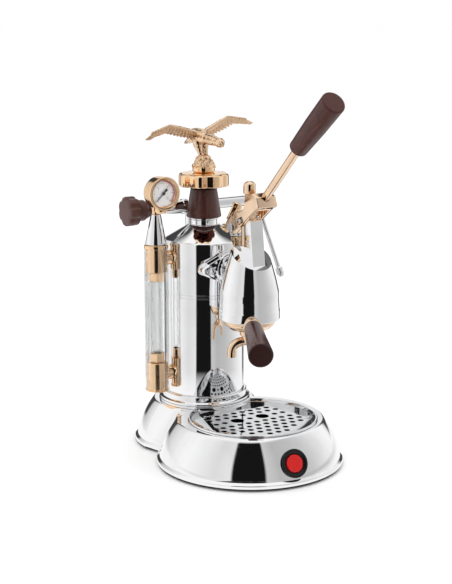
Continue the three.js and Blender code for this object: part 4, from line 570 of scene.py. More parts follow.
bright, warm = (0.93, 0.93, 0.94), (0.98, 0.68, 0.42)
chrome = polished("chrome", bright, 0.03, 0.075)
thin_chrome = polished("chrome on small parts", (0.90, 0.90, 0.91), 0.05, 0.11, 40.0, 0.04)
rose_gold = polished("rose gold plate", warm, 0.08, 0.15, 60.0)
pale_gold = polished("rose gold on the lever and the cup", (0.93, 0.68, 0.48), 0.08, 0.15, 60.0)

# %% The casting's fine scales
cast_gold = polished("rose gold on the casting", (0.92, 0.65, 0.43), 0.12, 0.22, 90.0)
cast_tree = cast_gold.node_tree
plumage = made(cast_tree, "ShaderNodeTexVoronoi", {"Vector": object_vector(cast_tree), "Scale": 430.0})
bumped(cast_tree, cast_tree.nodes["Principled BSDF"], plumage.outputs["Distance"], 0.7, 0.0006)


# %% Brushed steel, wood, and moulded plastic, rubber and enamel
def brushed(name, colour, low, high, turn=(0, 0, 0), worn=0.25):
    material, tree, shader = plain_material(name, {"Metallic": 1.0})
    brush = grouped(tree, brush_group, stretched(tree, object_vector(tree), turn=turn))
    tinted(tree, shader, brush["Patches"], [part * 0.94 for part in colour], colour)
    roughened(tree, shader, brush["Lines"], 0.3, 0.7, low, high)
    bumped(tree, shader, brush["Lines"], worn, 0.00003)
    return material


def grained(name, dark, light, turn=(0, 0, 0), rough=(0.32, 0.44), coat=0.15, end=None):
    material, tree, shader = plain_material(
        name, {"Specular IOR Level": 0.35, "Coat Weight": coat, "Coat Roughness": 0.22})
    grain = grouped(tree, grain_group, stretched(tree, object_vector(tree), turn=turn))
    shade = multiplied(tree, grain["Figure"], grain["Pores"])
    if end:
        # End grain drinks the oil and goes darker, from the plane where the flat end begins
        normal, reach = end
        beyond = made(tree, "ShaderNodeVectorMath", {0: object_vector(tree), 1: normal},
                      operation="DOT_PRODUCT")
        shade = multiplied(tree, shade, span(tree, beyond.outputs["Value"], reach - 0.0004, reach, 1.0, 0.05))
    tinted(tree, shader, shade, dark, light)
    roughened(tree, shader, grain["Figure"], 0.3, 0.7, rough[1], rough[0])
    bumped(tree, shader, grain["Pores"], 0.25, 0.00006)
    return material


def moulded(name, colour, rough, grit=0.15, gloss=0.5):
    material, tree, shader = plain_material(name, {"Specular IOR Level": gloss})
    marks = grouped(tree, marks_group, object_vector(tree), {"Smudge Scale": 50.0})
    tinted(tree, shader, marks["Smudges"], colour, [min(1, part * 1.25 + 0.002) for part in colour])
    roughened(tree, shader, marks["Smudges"], 0, 1, rough, rough + 0.12)
    bumped(tree, shader, marks["Specks"], grit, 0.00004)
    return material


plate_steel = brushed("grille steel", (0.80, 0.81, 0.82), 0.05, 0.10, worn=0.05)
pin_steel = brushed("turned steel", (0.62, 0.63, 0.65), 0.22, 0.36, (pi / 2, 0, 0))
cap_wood = grained("cap wood", (0.026, 0.006, 0.0045), (0.12, 0.024, 0.015), coat=0.45)
knob_brown = moulded("brown knob", (0.075, 0.028, 0.023), 0.28, 0.1)
black_plastic = moulded("black plastic", (0.006, 0.006, 0.007), 0.25, 0.2, 0.25)
black_rubber = moulded("black rubber", (0.012, 0.012, 0.012), 0.7, 0.5, 0.3)
dial_white = moulded("dial enamel", (0.96, 0.96, 0.955), 0.45, 0.08, 0.3)
dial_red = moulded("dial red", (0.62, 0.03, 0.02), 0.5, 0.08)
dial_black = moulded("dial black", (0.012, 0.012, 0.014), 0.5, 0.08)
needle_grey = moulded("needle enamel", (0.03, 0.03, 0.034), 0.35, 0.08)
red_lens = moulded("red lens", (0.52, 0.008, 0.007), 0.08, 0.05, 0.4)


# %% Clear parts cast no shadow, and a partial alpha lets some rays go straight through
def clear(name, tint, worn, alpha):
    material, tree, shader = plain_material(
        name, {"Alpha": alpha, "Base Color": (*tint, 1), "Metallic": 0.0, "Transmission Weight": 1.0,
               "IOR": 1.46})
    marks = grouped(tree, marks_group, object_vector(tree))
    roughened(tree, shader, marks["Smudges"], 0, 1, 0.0, 0.04)
    bumped(tree, shader, marks["Scratches"], worn, 0.00001)
    ray = made(tree, "ShaderNodeLightPath").outputs
    see_through = made(tree, "ShaderNodeBsdfTransparent")
    pick = made(tree, "ShaderNodeMixShader", {"Fac": ray["Is Shadow Ray"], 1: shader.outputs["BSDF"],
                                              2: see_through.outputs["BSDF"]})
    surface(tree, pick.outputs["Shader"])
    return material


tube_glass = clear("tube glass", (0.985, 0.995, 0.993), 0.04, 0.55)
sleeve_clear = clear("clear sleeve", (0.975, 0.985, 0.985), 0.05, 0.35)
dial_glass = clear("dial glass", (0.985, 0.99, 0.99), 0.05, 0.3)
print(len(bpy.data.materials), "materials and", len(bpy.data.node_groups), "node groups")

# %% [markdown]
# ## Copies that repeat
# One Geometry Nodes group makes everything that repeats: holes in the grille, ticks on the dial, feathers
# on the wings. It puts a copy on each point of a mesh, and reads each copy's turn and size from the points.

# %% The copying group's sockets
copies_tree = bpy.data.node_groups.new("copies on points", "GeometryNodeTree")
copy_sockets = {}
for title, kind in (("Points", "Geometry"), ("Copy", "Object"), ("Material", "Material"),
                    ("Jitter", "Float"), ("Seed", "Int")):
    socket = copies_tree.interface.new_socket(title, in_out="INPUT", socket_type="NodeSocket" + kind)
    copy_sockets[title] = socket.identifier
copies_tree.interface.new_socket("Mesh", in_out="OUTPUT", socket_type="NodeSocketGeometry")
entry = made(copies_tree, "NodeGroupInput").outputs

# %% Each copy turns by its stored turn and a little chance, and is then made real
turn_of, size_of = (made(copies_tree, "GeometryNodeInputNamedAttribute", {"Name": name},
                         data_type="FLOAT_VECTOR").outputs[0] for name in ("turn", "size"))
chance = made(copies_tree, "FunctionNodeRandomValue",
              {0: (-1, -1, -1), 1: (1, 1, 1), "Seed": entry["Seed"]}, data_type="FLOAT_VECTOR")
wobble = made(copies_tree, "ShaderNodeVectorMath", {0: chance.outputs[0], "Scale": entry["Jitter"]},
              operation="SCALE")
summed = made(copies_tree, "ShaderNodeVectorMath", {0: turn_of, 1: wobble.outputs[0]}, operation="ADD")
as_turn = made(copies_tree, "FunctionNodeEulerToRotation", {0: summed.outputs[0]})
source = made(copies_tree, "GeometryNodeObjectInfo", {"Object": entry["Copy"]})
copied = made(copies_tree, "GeometryNodeInstanceOnPoints",
              {"Points": entry["Points"], "Instance": source.outputs["Geometry"],
               "Rotation": as_turn.outputs[0], "Scale": size_of})
real = made(copies_tree, "GeometryNodeRealizeInstances", {"Geometry": copied.outputs["Instances"]})
coated = made(copies_tree, "GeometryNodeSetMaterial",
              {"Geometry": real.outputs["Geometry"], "Material": entry["Material"]})
made(copies_tree, "NodeGroupOutput", {"Mesh": coated.outputs["Geometry"]})
print("copying group:", len(copies_tree.nodes), "nodes")


def repeated(copy, places, material, jitter=0.0, seed=1):
    holder = placed("scratch", ([Vector(place) for place, _, _ in places], []))
    original = placed("scratch", copy)
    for title, column in (("turn", 1), ("size", 2)):
        values = holder.data.attributes.new(title, "FLOAT_VECTOR", "POINT")
        for k, place in enumerate(places):
            values.data[k].vector = place[column]
    spread = holder.modifiers.new("copies", "NODES")
    spread.node_group = copies_tree
    for title, value in (("Copy", original), ("Material", material), ("Jitter", jitter), ("Seed", seed)):
        spread[copy_sockets[title]] = value
    shape = read_back(holder)
    bpy.data.objects.remove(holder)
    bpy.data.objects.remove(original)
    return shape


# %% [markdown]
# ## The base
# The base is drawn sheet steel: a large round lobe in front and a smaller one behind, with a wall that leans
# in more and more towards the top. Its outline is one ring of points, drawn in by a different inset at each
# height, so the wall is made of even quads and mirrors the studio cleanly.

# %% The outlines of the base and of the tray
base_top, base_bottom, flare = 49.6, 3.2, 2.4
lobe_radius, lobe_forward, rear_radius = 98, 94, 76
waist, throat = Vector((69.7, -22)), Vector((50, -60))
draw, draw_height = 22, 53
tray_forward, tray_reach, bite_reach = 99.5, 66.8, 54.5
front_steps, rear_steps, side_steps, tray_steps, bite_steps = 144, 72, 4, 120, 48


def wall_inset(height):
    return draw * (height / draw_height) ** 2


def arc(reach, angles, forward, height):
    return [Vector((reach * cos(angle), reach * sin(angle) - forward, height)) for angle in angles]


def front_arc(reach, meet_x, meet_y, forward, height, steps):
    start = atan2(meet_y + forward, meet_x)
    return arc(reach, [start - (pi + 2 * start) * k / steps for k in range(steps + 1)], forward, height)


def base_outline(inset, height):
    reach = lobe_radius - inset
    first, last = waist - Vector((inset, 0)), throat - Vector((inset, 0))
    run, offset = last - first, first + Vector((0, lobe_forward))
    b, c = offset.dot(run), offset.dot(offset) - reach ** 2
    meet = first + run * ((-b - sqrt(b * b - run.dot(run) * c)) / run.dot(run))
    side = [meet.lerp(first, k / side_steps) for k in range(1, side_steps + 1)]
    return [*front_arc(reach, meet.x, meet.y, lobe_forward, height, front_steps),
            *[Vector((-spot.x, spot.y, height)) for spot in side],
            *arc(rear_radius - inset, [pi * (1 - k / rear_steps) for k in range(rear_steps + 1)], 0, height),
            *[Vector((spot.x, spot.y, height)) for spot in reversed(side)]]


def tray_outline(inset, height):
    outer, inner = tray_reach - inset, bite_reach + inset
    meet_y = (outer ** 2 - inner ** 2 - tray_forward ** 2) / (2 * tray_forward)
    meet_x = sqrt(inner ** 2 - meet_y ** 2)
    end = atan2(meet_y, meet_x)
    back = [-pi - end + (pi + 2 * end) * k / bite_steps for k in range(1, bite_steps)]
    return front_arc(outer, meet_x, meet_y, tray_forward, height, tray_steps) + arc(inner, back, 0, height)


def stacked(outline, rows):
    return lofted([outline(*row) for row in rows])


# %% The sheet's outer and inner faces
sheet = 1.8
lip_top, lip_fillet = base_bottom + 3.4, 1.2
wall_foot, wall_head, wall_rows, inner_rows = lip_top + flare, base_top - 1.2, 14, 8
outside = [(-flare + 0.5, base_bottom), (-flare, base_bottom + 0.5), (-flare, lip_top)]
for k in range(wall_rows + 1):
    height = wall_foot + (wall_head - wall_foot) * k / wall_rows
    outside.append((wall_inset(height), height))
outside += [(19.1, base_top - 0.55), (20, base_top)]
outside = rounded([(inset, height, lip_fillet if height == lip_top else 0) for inset, height in outside])
inside = [(sheet, base_bottom - 2)]
for k in range(inner_rows + 1):
    height = lip_top + (wall_head - sheet - lip_top) * k / inner_rows
    inside.append((sheet + wall_inset(height), height))
inside.append((20 + sheet, base_top - sheet))
print(len(outside), "rows outside and", len(inside), "inside")


# %% A place on the leaning wall, for the switch in front and the cord's gland behind
def on_wall(centre, out, reach, height):
    lean = atan(2 * draw * height / draw_height ** 2)
    return centre + out * reach, out * cos(lean) + UP * sin(lean)


switch_height, switch_across, gland_height = 25, -6.2, 22
switch_reach = lobe_radius - wall_inset(switch_height)
switch_bearing = -pi / 2 + asin(switch_across / switch_reach)
switch_out = Vector((cos(switch_bearing), sin(switch_bearing), 0))
switch_spot, switch_normal = on_wall(Vector((0, -lobe_forward, switch_height)), switch_out, switch_reach,
                                     switch_height)
gland_spot, gland_normal = on_wall(Vector((0, 0, gland_height)), BACK, rear_radius - wall_inset(gland_height),
                                   gland_height)
print("switch at", [round(part, 1) for part in switch_spot])

# %% The base shell
pedestal = turned([(0, 47.8), (50.9, 47.8), (50.9, 51, 0.9), (0, 51)], broad_sides)
base = cut(welded(stacked(base_outline, outside), pedestal), stacked(base_outline, inside),
           bar((0, 0, 45), (0, 0, 53), 30, small_sides), stacked(tray_outline, ((-1.7, 45), (-1.7, 53))),
           bar(switch_spot - switch_normal * 13, switch_spot + switch_normal * 2, 12.3),
           bar(gland_spot - gland_normal * 9, gland_spot + gland_normal * 2, 6.8))
piece("base_body", base, chrome, ["base_shell"], sharp=28)

# %% [markdown]
# A dark pan closes the base from below, and four rubber feet carry it.

# %% The pan and the feet
pan = stacked(base_outline, ((-1.1, 1.6), (-1.5, 2.0), (-1.5, 2.5), (-1.1, 2.9)))
foot_places = {"front_left": (-60, -150), "front_right": (60, -150),
               "rear_left": (-46, 36), "rear_right": (46, 36)}
pan = cut(pan, *[bar((x, y, 0), (x, y, 5), 4.3, hole_sides) for x, y in foot_places.values()])
piece("pan", pan, black_rubber, ["base_pan"])
pad = turned([(0, 0), (9, 0, 0.4), (9, 1.3, 0.5), (4, 1.3), (4, 3.2), (6, 3.2, 0.5), (4, 5.8), (0, 5.8)],
             thin_sides)
for name, (x, y) in foot_places.items():
    piece("pad_" + name, shifted(pad, x, y, 0), black_rubber, ["foot_" + name])

# %% The switch and the cord's gland
bezel = hollow([(0, -13), (12, -13), (12, 0.3), (15, 0.3, 0.3), (15, 2.5, 1.4), (12.6, 2.5, 0.5),
                (10.9, 1.5, 0.4), (10, 1.2, 0.3), (10, -11), (0, -11)])
bezel = aimed(bezel, switch_spot, switch_normal)
piece("switch_ring", bezel, black_plastic, ["switch_bezel"])
lens = turned([(0, -3), (9.4, -3), (9.4, 1.6, 0.6), (8.2, 2.9, 1.6), (4.5, 3.4, 5), (0, 3.4)])
piece("switch_lens", aimed(lens, switch_spot, switch_normal), red_lens, ["switch_button"])
bush = hollow([(3.6, -9), (6.5, -9), (6.5, 0.3), (9, 0.3, 0.3), (9, 2.7, 1), (6.6, 2.7, 0.6), (5.6, 2.1),
               (4.2, 2.1), (3.6, 1.6)], small_sides)
piece("gland_bush", aimed(bush, gland_spot, gland_normal), black_rubber, ["cord_gland"])

# %% [markdown]
# ## Drip tray and grille
# The tray hangs from the base by a rolled bead, and the perforated grille lies on a ledge inside it. The
# holes are drilled with copies from the copying group, and two finger holes let the grille be lifted out.

# %% The tray, bright at its rim, with painted shade below it
seat, ledge = base_top + 0.3, 46.2
tray_profile = [(4, 21), (1, 24, 3), (1, ledge), (-0.4, ledge), (-0.4, seat + 0.9), (-0.5, seat + 1.8, 0.6),
                (-2.7, seat + 1.8, 0.9), (-2.9, seat, 0.7), (-1.4, seat), (-1.4, ledge - 1),
                (0, ledge - 2.4, 0.6), (0, 23, 3), (3, 20)]
# Below the ledge the plate is painted near black: painted shade inside the tray, under the grille
tray_metal_painted_shade = split_by_height(polished("tray plate with painted shade", bright, 0.03, 0.075), (0.05, 0.05, 0.053), bright,
                             ledge - 1.5, ledge - 0.8)
piece("tray_pan", stacked(tray_outline, rounded(tray_profile, False, 5)), tray_metal_painted_shade, ["drip_tray"])

# %% The perforated grille
grille_top, grille_bottom, grille_middle, grille_ease = 47.6, 46.5, 47, 0.35
finger_forward, finger_place, pitch, first_row, row_pitch = 94.2, 1.5, 10.6, 13.8, 10.25
row_counts = {-2: 8, -1: 9, 0: 9, 1: 9, 2: 10, 3: 9, 4: 6, 5: 3}
drills = [((side * finger_place * pitch, -finger_forward, grille_middle), (0, 0, 0), (7.2, 7.2, 1))
          for side in (-1, 1)]
for row, count in row_counts.items():
    reach = 0 if row == 0 else first_row + (abs(row) - 1) * row_pitch
    y = -finger_forward - copysign(reach, row)
    for k in range(count):
        place = k - (count - 1) / 2
        if row or abs(abs(place) - finger_place) >= 1:
            drills.append(((place * pitch, y, grille_middle), (0, 0, 0), (3.25, 3.25, 1)))
drill = turned([(0, -4), (1, -4), (1, 4), (0, 4)], 40)
plate = stacked(tray_outline, ((grille_ease, grille_bottom), (0, grille_bottom + grille_ease),
                               (0, grille_top - grille_ease), (grille_ease, grille_top)))
grille = cut(plate, repeated(drill, drills, plate_steel))
piece("grille_plate", grille, plate_steel, ["drip_grille"], sharp=50)

# %% [markdown]
# ## The boiler
# The boiler is one long turned shell with two fine grooves and a shallow cone on top. A short neck carries
# the lozenge flange that the group is bolted to.

# %% Lozenges stacked into a plate, and the holes for its two studs
stud_x = 24


def lozenge_plate(height, layers):
    rings = []
    for y, crown_inset, tip_inset in layers:
        half, rise, crown = 43 - tip_inset, 18.7 - crown_inset, 6 - crown_inset
        line = rounded([(-half, 0, crown), (0, -rise, 13), (half, 0, crown), (0, rise, 13)], True, 16)
        rings.append([Vector((point.x, y, height + point.y)) for point in line])
    return lofted(rings)


def eased_lozenge(height, front, back):
    return lozenge_plate(height, [(front, 0.5, 0.9), (front + 0.5, 0, 0),
                                  (back - 0.5, 0, 0), (back, 0.5, 0.9)])


def stud_holes(front, height):
    return [bar((x, front, height), (x, -40, height), 2.5, hole_sides) for x in (-stud_x, stud_x)]


# %% The boiler shell with its neck and flange
groove_heights, shoulder, cone_top = (169.9, 173.3), 230.5, 246.5
boiler_radius, cone_reach, axis_height = 44.1, 17, 205
outline = [(boiler_radius, 51.3, 1.5)]
for height in groove_heights:
    outline += [(boiler_radius, height, 0.15), (boiler_radius - 0.6, height + 0.45, 0.2),
                (boiler_radius - 0.6, height + 0.85, 0.2), (boiler_radius, height + 1.3, 0.15)]
outline += [(boiler_radius, shoulder, 3), (cone_reach, cone_top, 0.8)]
shell = hollow([(14, 51.3), *outline, (14.7, cone_top, 0.5), (14.7, 252, 0.5), (11.6, 252, 0.4),
                (11.6, 244.5), (42.1, 228.5, 3), (42.1, 53.5), (14, 53.5)], wide_sides)
inner_wall = bar((0, 0, 150), (0, 0, 240), 43.6, round_sides)
neck = cut(bar((0, -30, axis_height), (0, -46.7, axis_height), 18, round_sides), inner_wall)
boiler_plate = cut(eased_lozenge(axis_height, -46.7, -42.7), inner_wall, *stud_holes(-48, axis_height))
piece("boiler_body", joined(shell, neck, boiler_plate), chrome, ["boiler_shell"])
ring = hollow([(44.4, 51.3), (50.5, 51.3, 0.3), (50.5, 53.7, 1.2), (47.4, 54.9, 0.8), (47.4, 61, 1.2),
               (44.4, 61, 0.3)], wide_sides)
piece("boiler_foot_ring", ring, chrome, ["boiler_collar"])

# %% Hidden CAD nodes keep their solids and get these materials
for material, nodes in ((pin_steel, ("heating_element", "piston", "shower_screen")),
                        (black_rubber, ("group_gasket", "piston_seal"))):
    for node in nodes:
        for place in frame["nodes"][node].material_slots:
            place.material = material
        print(node, "is now", material.name)

# %% [markdown]
# ## The filler cap
# The cap unscrews as one: a threaded plug, a turned wood cone, a fluted metal cover, a boss, and a cast eagle
# with spread wings, which is a traditional ornament on machines of this kind.

# %% Plug and cone
cone_foot, cone_head, cover_foot, cover_head, boss_foot, boss_head = 254.2, 286.2, 288.2, 303.2, 303.5, 312.7
plug = turned([(0, 238), (11.2, 238), (11.2, 252.3), (15.4, 252.3, 0.4), (15.4, 253.9, 0.4), (4, 253.9),
               (4, 309.8), (0, 309.8)])
piece("plug", plug, thin_chrome, ["cap_plug"])
cone = hollow([(4.3, cone_foot), (19.5, cone_foot, 1.6), (14.3, cone_head, 1.6), (12, cone_head, 0.3),
               (12, cone_head + 1.7), (4.3, cone_head + 1.7)])
piece("wood_cone", cone, cap_wood, ["cap_cone"])


# %% The fluted cover, with painted shade below, and its boss
def lobed(radius, lobes, depth, profile, sides):
    rings = []
    for inset, height in profile:
        ring = []
        for angle in around(sides):
            reach = radius - inset - depth * sin(lobes * angle / 2) ** 4
            ring.append(Vector((reach * cos(angle), reach * sin(angle), height)))
        rings.append(ring)
    return lofted(rings)


cover_rows = [(3.2, cover_foot), (1.2, cover_foot + 0.25), (0.35, cover_foot + 0.8), (0, cover_foot + 1.8),
              (0, cover_head - 4.2), (0.3, cover_head - 2.6), (1.2, cover_head - 1.3),
              (2.6, cover_head - 0.7), (13, cover_head)]
cover = cut(lobed(27.7, 8, 2.2, cover_rows, 192), bar((0, 0, 280), (0, 0, 310), 4.3))
# The cover's rolled lower edge is painted dark brown: painted shade under the rim, over the wood cone
cover_plate_painted_shade = split_by_height(polished("cover plate with painted shade", warm, 0.08, 0.15, 60.0), (0.07, 0.022, 0.016),
                              warm, cover_foot + 0.4, cover_foot + 0.9)
piece("fluted_cover", cover, cover_plate_painted_shade, ["cap_cover"], sharp=50)
boss = hollow([(4.3, boss_foot), (10.6, boss_foot, 0.3), (12.2, boss_foot + 1.4, 0.8),
               (12.2, boss_head - 2.6, 2), (8.8, boss_head, 2.4), (0, boss_head), (0, 310.1), (4.3, 310.1)])
piece("boss", boss, rose_gold, ["cap_boss"])

# %% [markdown]
# The eagle is built from smooth ovals for the body and head, and from thin wing plates that carry three rows
# of separate feathers on each face. Each feather is one copy of a single blade, and its turn fans out
# towards the wing's tip.

# %% The rock under it, roughened by noise
perch_foot = 313.0
rock = turned([(0, perch_foot - 5.5), (12.8, perch_foot - 5.5, 0.6), (14, perch_foot - 4, 1.2),
               (14, perch_foot - 2, 1.2), (12.2, perch_foot + 1, 1.2), (11.2, perch_foot + 3, 1.2),
               (9.6, perch_foot + 4.6, 1.5), (8.4, perch_foot + 6.6, 1), (6, perch_foot + 9, 1.6),
               (0, perch_foot + 9)])
rough_depth, rough_scale = 0.22, 0.42


def chipped(point):
    return point - Vector((point.x, point.y, 0)) * rough_depth * (noise.noise(point * rough_scale) + 0.6)


parts = [([chipped(point) for point in rock[0]], rock[1])]
print("rock with", len(rock[0]), "points")

# %% Body, neck, head, tail and beak
body_at = Vector((0, 7.5, perch_foot + 29))
head_at = Vector((0, -33, perch_foot + 25.5))
tail_at = Vector((0, 39, perch_foot + 17.5))
along, to_tail = head_at - body_at, tail_at - body_at
parts += [ball(body_at, (8.6, 8.4, 21), along), ball(body_at.lerp(head_at, 0.5), (5.8, 6.0, 24), along),
          ball(head_at, (5.2, 5.3, 6.6), along), ball(body_at.lerp(tail_at, 0.45), (8.2, 2.9, 14), to_tail)]
beak = [head_at + Vector((0, y, z)) for y, z in ((-2.5, 0.6), (-5.2, 0.3), (-7.0, -1.2), (-7.4, -4.0))]
parts.append(swept(beak, [3.6, 2.7, 1.7, 0.3], 20))
print(len(parts), "forms from the rock to the beak")

# %% Eyes, legs and toes
thigh_line = ((3.6, 6.5, 0), (3.8, 6.5, 4), (3.8, 5.8, 8), (3.6, 4.4, 12), (3.3, 2.4, 16), (3.2, 0.8, 20))
for side in (-1, 1):
    parts.append(ball(head_at + Vector((side * 3.6, -1.6, 1.6)), (0.9, 0.9, 0.9)))
    thigh = [Vector((side * x, y, body_at.z - drop)) for x, y, drop in thigh_line]
    parts.append(swept(thigh, [4.6, 5.6, 5.4, 4.4, 3.1, 2.4], 24))
    for toe in (-0.7, 0.0, 0.7):
        foot = Vector((side * 3.2, 0.5, perch_foot + 8.6))
        tip = foot + Vector((3.4 * sin(toe) + side * 0.4, -3.9 * cos(toe), -1.7))
        parts.append(swept([foot, foot.lerp(tip, 0.5) + UP, tip], [1.2, 1.0, 0.4], 12))
print(len(parts), "forms with eyes, legs and toes")

# %% Where a wing's points are: out along it, up it and behind the axis
bank, wing_y, root_z = radians(4.5), 5.0, perch_foot + 33.5
front_face, mid_face, back_face = wing_y + 0.9, wing_y + 1.5, wing_y + 2.1
wing_line = [(2, -8, 0), (3, 0, 2), (15, 5.5, 6), (37, 13.2, 14), (57, 7.6, 9), (69.4, 0.9, 0.6),
             (65, -0.6, 3), (52, 4.2, 6), (38, 7.0, 9), (20, 1.2, 8), (8, -5, 3)]
arm_line = ((1, -3), (8, 0.4), (16, 3.6), (26, 7.6), (36, 11.0), (46, 8.6), (57, 6.1), (68, 1.2))
crest_line = [(3, 0), (15, 5.5), (37, 12.6), (57, 7.5), (70, 0.5)]


def wing_point(side, out, rise, y):
    return Matrix.Rotation(-bank, 4, "Y") @ Vector((side * out, 0, rise)) + Vector((0, y, root_z))


print("crest 37 mm out:", read_off(crest_line, 37), "mm")

# %% Wing plates, arms and feathers: a row is its count, drop, lengths, width and depth, and step out
feather_rows = [(14, 2.8, (5.8, 9.8), (4.2, 1.4), 0.0), (14, 1.2, (4.4, 6.0), (4.2, 1.6), 0.35),
                (16, 0.2, (3.2, 4.2), (3.6, 1.6), 0.65)]
blade = joined(ball((0, 0, -0.5), (0.5, 0.5, 0.5), UP, 14), block((-0.05, -0.6, -0.96), (0.05, 0.6, 0)))
feathers = []
for side in (-1, 1):
    line = rounded([(side * out, rise, radius) for out, rise, radius in wing_line], True, 6)
    middle = sum(line, Vector((0, 0))) / len(line)
    rings = []
    for inset, y in ((0.9, front_face), (0.0, mid_face), (0.9, back_face)):
        ring = [middle + (point - middle) * (1 - inset / 22) for point in line]
        rings.append([wing_point(side, side * point.x, point.y, y) for point in ring])
    parts.append(lofted(rings))
    arm = [wing_point(side, out, rise, mid_face) for out, rise in arm_line]
    parts.append(swept(arm, [3.4, 3.1, 2.7, 2.4, 2.1, 1.7, 1.2, 0.4], 20))
    for count, drop, (short, long), (wide, thick), ahead in feather_rows:
        for k in range(count):
            place = (k + 0.5) / count
            out = 6 + 52 * place
            fan = radians(38 + 26 * place)
            length = short + (long - short) * sin(pi * (0.15 + 0.65 * place))
            for y in (front_face - ahead, back_face + ahead):
                spot = wing_point(side, out, read_off(crest_line, out) - drop, y)
                feathers.append((spot, (0, -side * fan, 0), (wide * (1 - 0.2 * place), thick, length)))
print(len(feathers), "feathers on the wings")

# %% Tail feathers, and the whole casting
lean, half_tail = atan2(tail_at.y - body_at.y, body_at.z - tail_at.z), 4
for k in range(-half_tail, half_tail + 1):
    fan = k / half_tail
    spot = body_at.lerp(tail_at, 0.5) + Vector((fan * 3.4, 0, 1.2 - abs(fan) * 0.8))
    feathers.append((spot, (lean, 0, fan * 0.16), (4.4, 1.6, 17)))
parts.append(repeated(blade, feathers, cast_gold, 0.02, 7))
piece("eagle", joined(*parts), cast_gold, ["cap_eagle"], sharp=60)

# %% [markdown]
# ## Sight glass
# Two turned blocks are screwed to the boiler's side. A thin glass tube stands between their hexagonal nuts,
# and a clear sleeve, slotted towards the boiler, guards it.

# %% Helpers for pieces on the sight glass's axis
sight_x = -60.5
boiler_keep = turned([(0, 40), (boiler_radius + 0.3, 40), (boiler_radius + 0.3, shoulder), (0, cone_top)])


def at_sight(shape):
    return shifted(shape, sight_x, 0, 0)


def sight_block(profile, arm_height, low, high):
    arm = bar((sight_x, 0, arm_height), (-boiler_radius - 0.3, 0, arm_height), 8, small_sides)
    bore = bar((sight_x, 0, low), (sight_x, 0, high), 7)
    return joined(at_sight(hollow(profile)), cut(arm, boiler_keep, bore))


def sight_nut(low, high):
    body = hexagon([(0, low), (7.8, low), (9, low + 0.7), (9, high - 0.7), (7.8, high), (0, high)])
    return at_sight(cut(body, bar((0, 0, low - 2), (0, 0, high + 2), 6.7, small_sides)))


# %% Blocks and nuts
top_block = sight_block([(6.7, 199), (11.4, 199, 0.6), (11.4, 224.9, 0.3), (13, 225.1, 0.3), (13, 229, 1.2),
                         (2.6, 229), (2.6, 203), (6.7, 203)], 213, 190, 230)
piece("sight_upper", top_block, rose_gold, ["sight_top_block"])
bottom_block = sight_block([(6.7, 98), (6.7, 94), (2.6, 94), (2.6, 78), (0, 78), (0, 66), (13.3, 66, 0.4),
                            (13.3, 67.7, 0.4), (11.4, 67.9, 0.2), (11.4, 98, 0.6)], 84, 60, 100)
piece("sight_lower", bottom_block, rose_gold, ["sight_bottom_block"])
piece("upper_nut", sight_nut(188.5, 198.7), rose_gold, ["sight_top_nut"])
piece("lower_nut", sight_nut(98.3, 108.5), rose_gold, ["sight_bottom_nut"])

# %% The tube and its slotted sleeve
tube = hollow([(4.7, 94.3, 0.2), (6.4, 94.3, 0.2), (6.4, 202.7, 0.2), (4.7, 202.7, 0.2)], small_sides)
piece("glass_tube", at_sight(tube), tube_glass, ["sight_glass"])
sleeve_outer, sleeve_inner = 13.3, 12.3
slot_turn = asin(8.8 / sleeve_outer) + 0.01
sleeve_line = []
there = [k / 96 for k in range(97)]
for reach, shares in ((sleeve_outer, there), (sleeve_inner, [1 - share for share in there])):
    for share in shares:
        angle = slot_turn + (2 * pi - 2 * slot_turn) * share
        sleeve_line.append((sight_x + reach * cos(angle), reach * sin(angle)))
sleeve = lofted([[Vector((x, y, height)) for x, y in sleeve_line] for height in (68, 224.7)])
piece("clear_guard", sleeve, sleeve_clear, ["sight_sleeve"])

# %% [markdown]
# ## Pressure gauge
# The gauge stands on a tapered post above the sight glass. The numbers are plain scale figures, made with
# Blender's own font, and the ticks come from the copying group.

# %% Post, case and the elbow that joins them
post = hollow([(2.5, 229.3), (11.9, 229.3, 0.8), (5.5, 262, 0.8), (2.5, 262)])
piece("gauge_post", at_sight(post), chrome, ["gauge_cone"])
gauge_z, gauge_front, case_radius, case_depth = 286.5, -21.5, 18.2, 19.5
dial_centre = Vector((sight_x, gauge_front, gauge_z))
case = turned([(0, 6.4), (15.7, 6.4), (15.7, 1.4, 0.3), (14.4, 1.0, 0.3), (15.2, 0.15, 0.6), (16.4, 0, 0.8),
               (case_radius, 0.3, 1.4), (case_radius, 3.0, 0.5), (17.6, 3.4, 0.3), (17.6, 17, 3),
               (12.5, case_depth, 3), (0, case_depth)], broad_sides)
stem_y = gauge_front + case_depth / 2
neck_high = gauge_z - case_radius + 1.4
neck_low = neck_high - 5
elbow = turned([(0, neck_low), (5, neck_low, 0.4), (7.4, neck_low + 2.5, 0.8), (7.4, neck_high + 3),
                (0, neck_high + 3)], small_sides)
stem = turned([(0, 262.3), (5, 262.3, 0.5), (5, neck_low + 5, 1.5), (0, neck_low + 5)], small_sides)
shell = joined(aimed(case, dial_centre, BACK), shifted(elbow, sight_x, stem_y, 0),
               bar((sight_x, stem_y, neck_low + 2.5), (sight_x, 0, neck_low + 2.5), 2.5), at_sight(stem))
piece("gauge_shell", shell, rose_gold, ["gauge_case"])

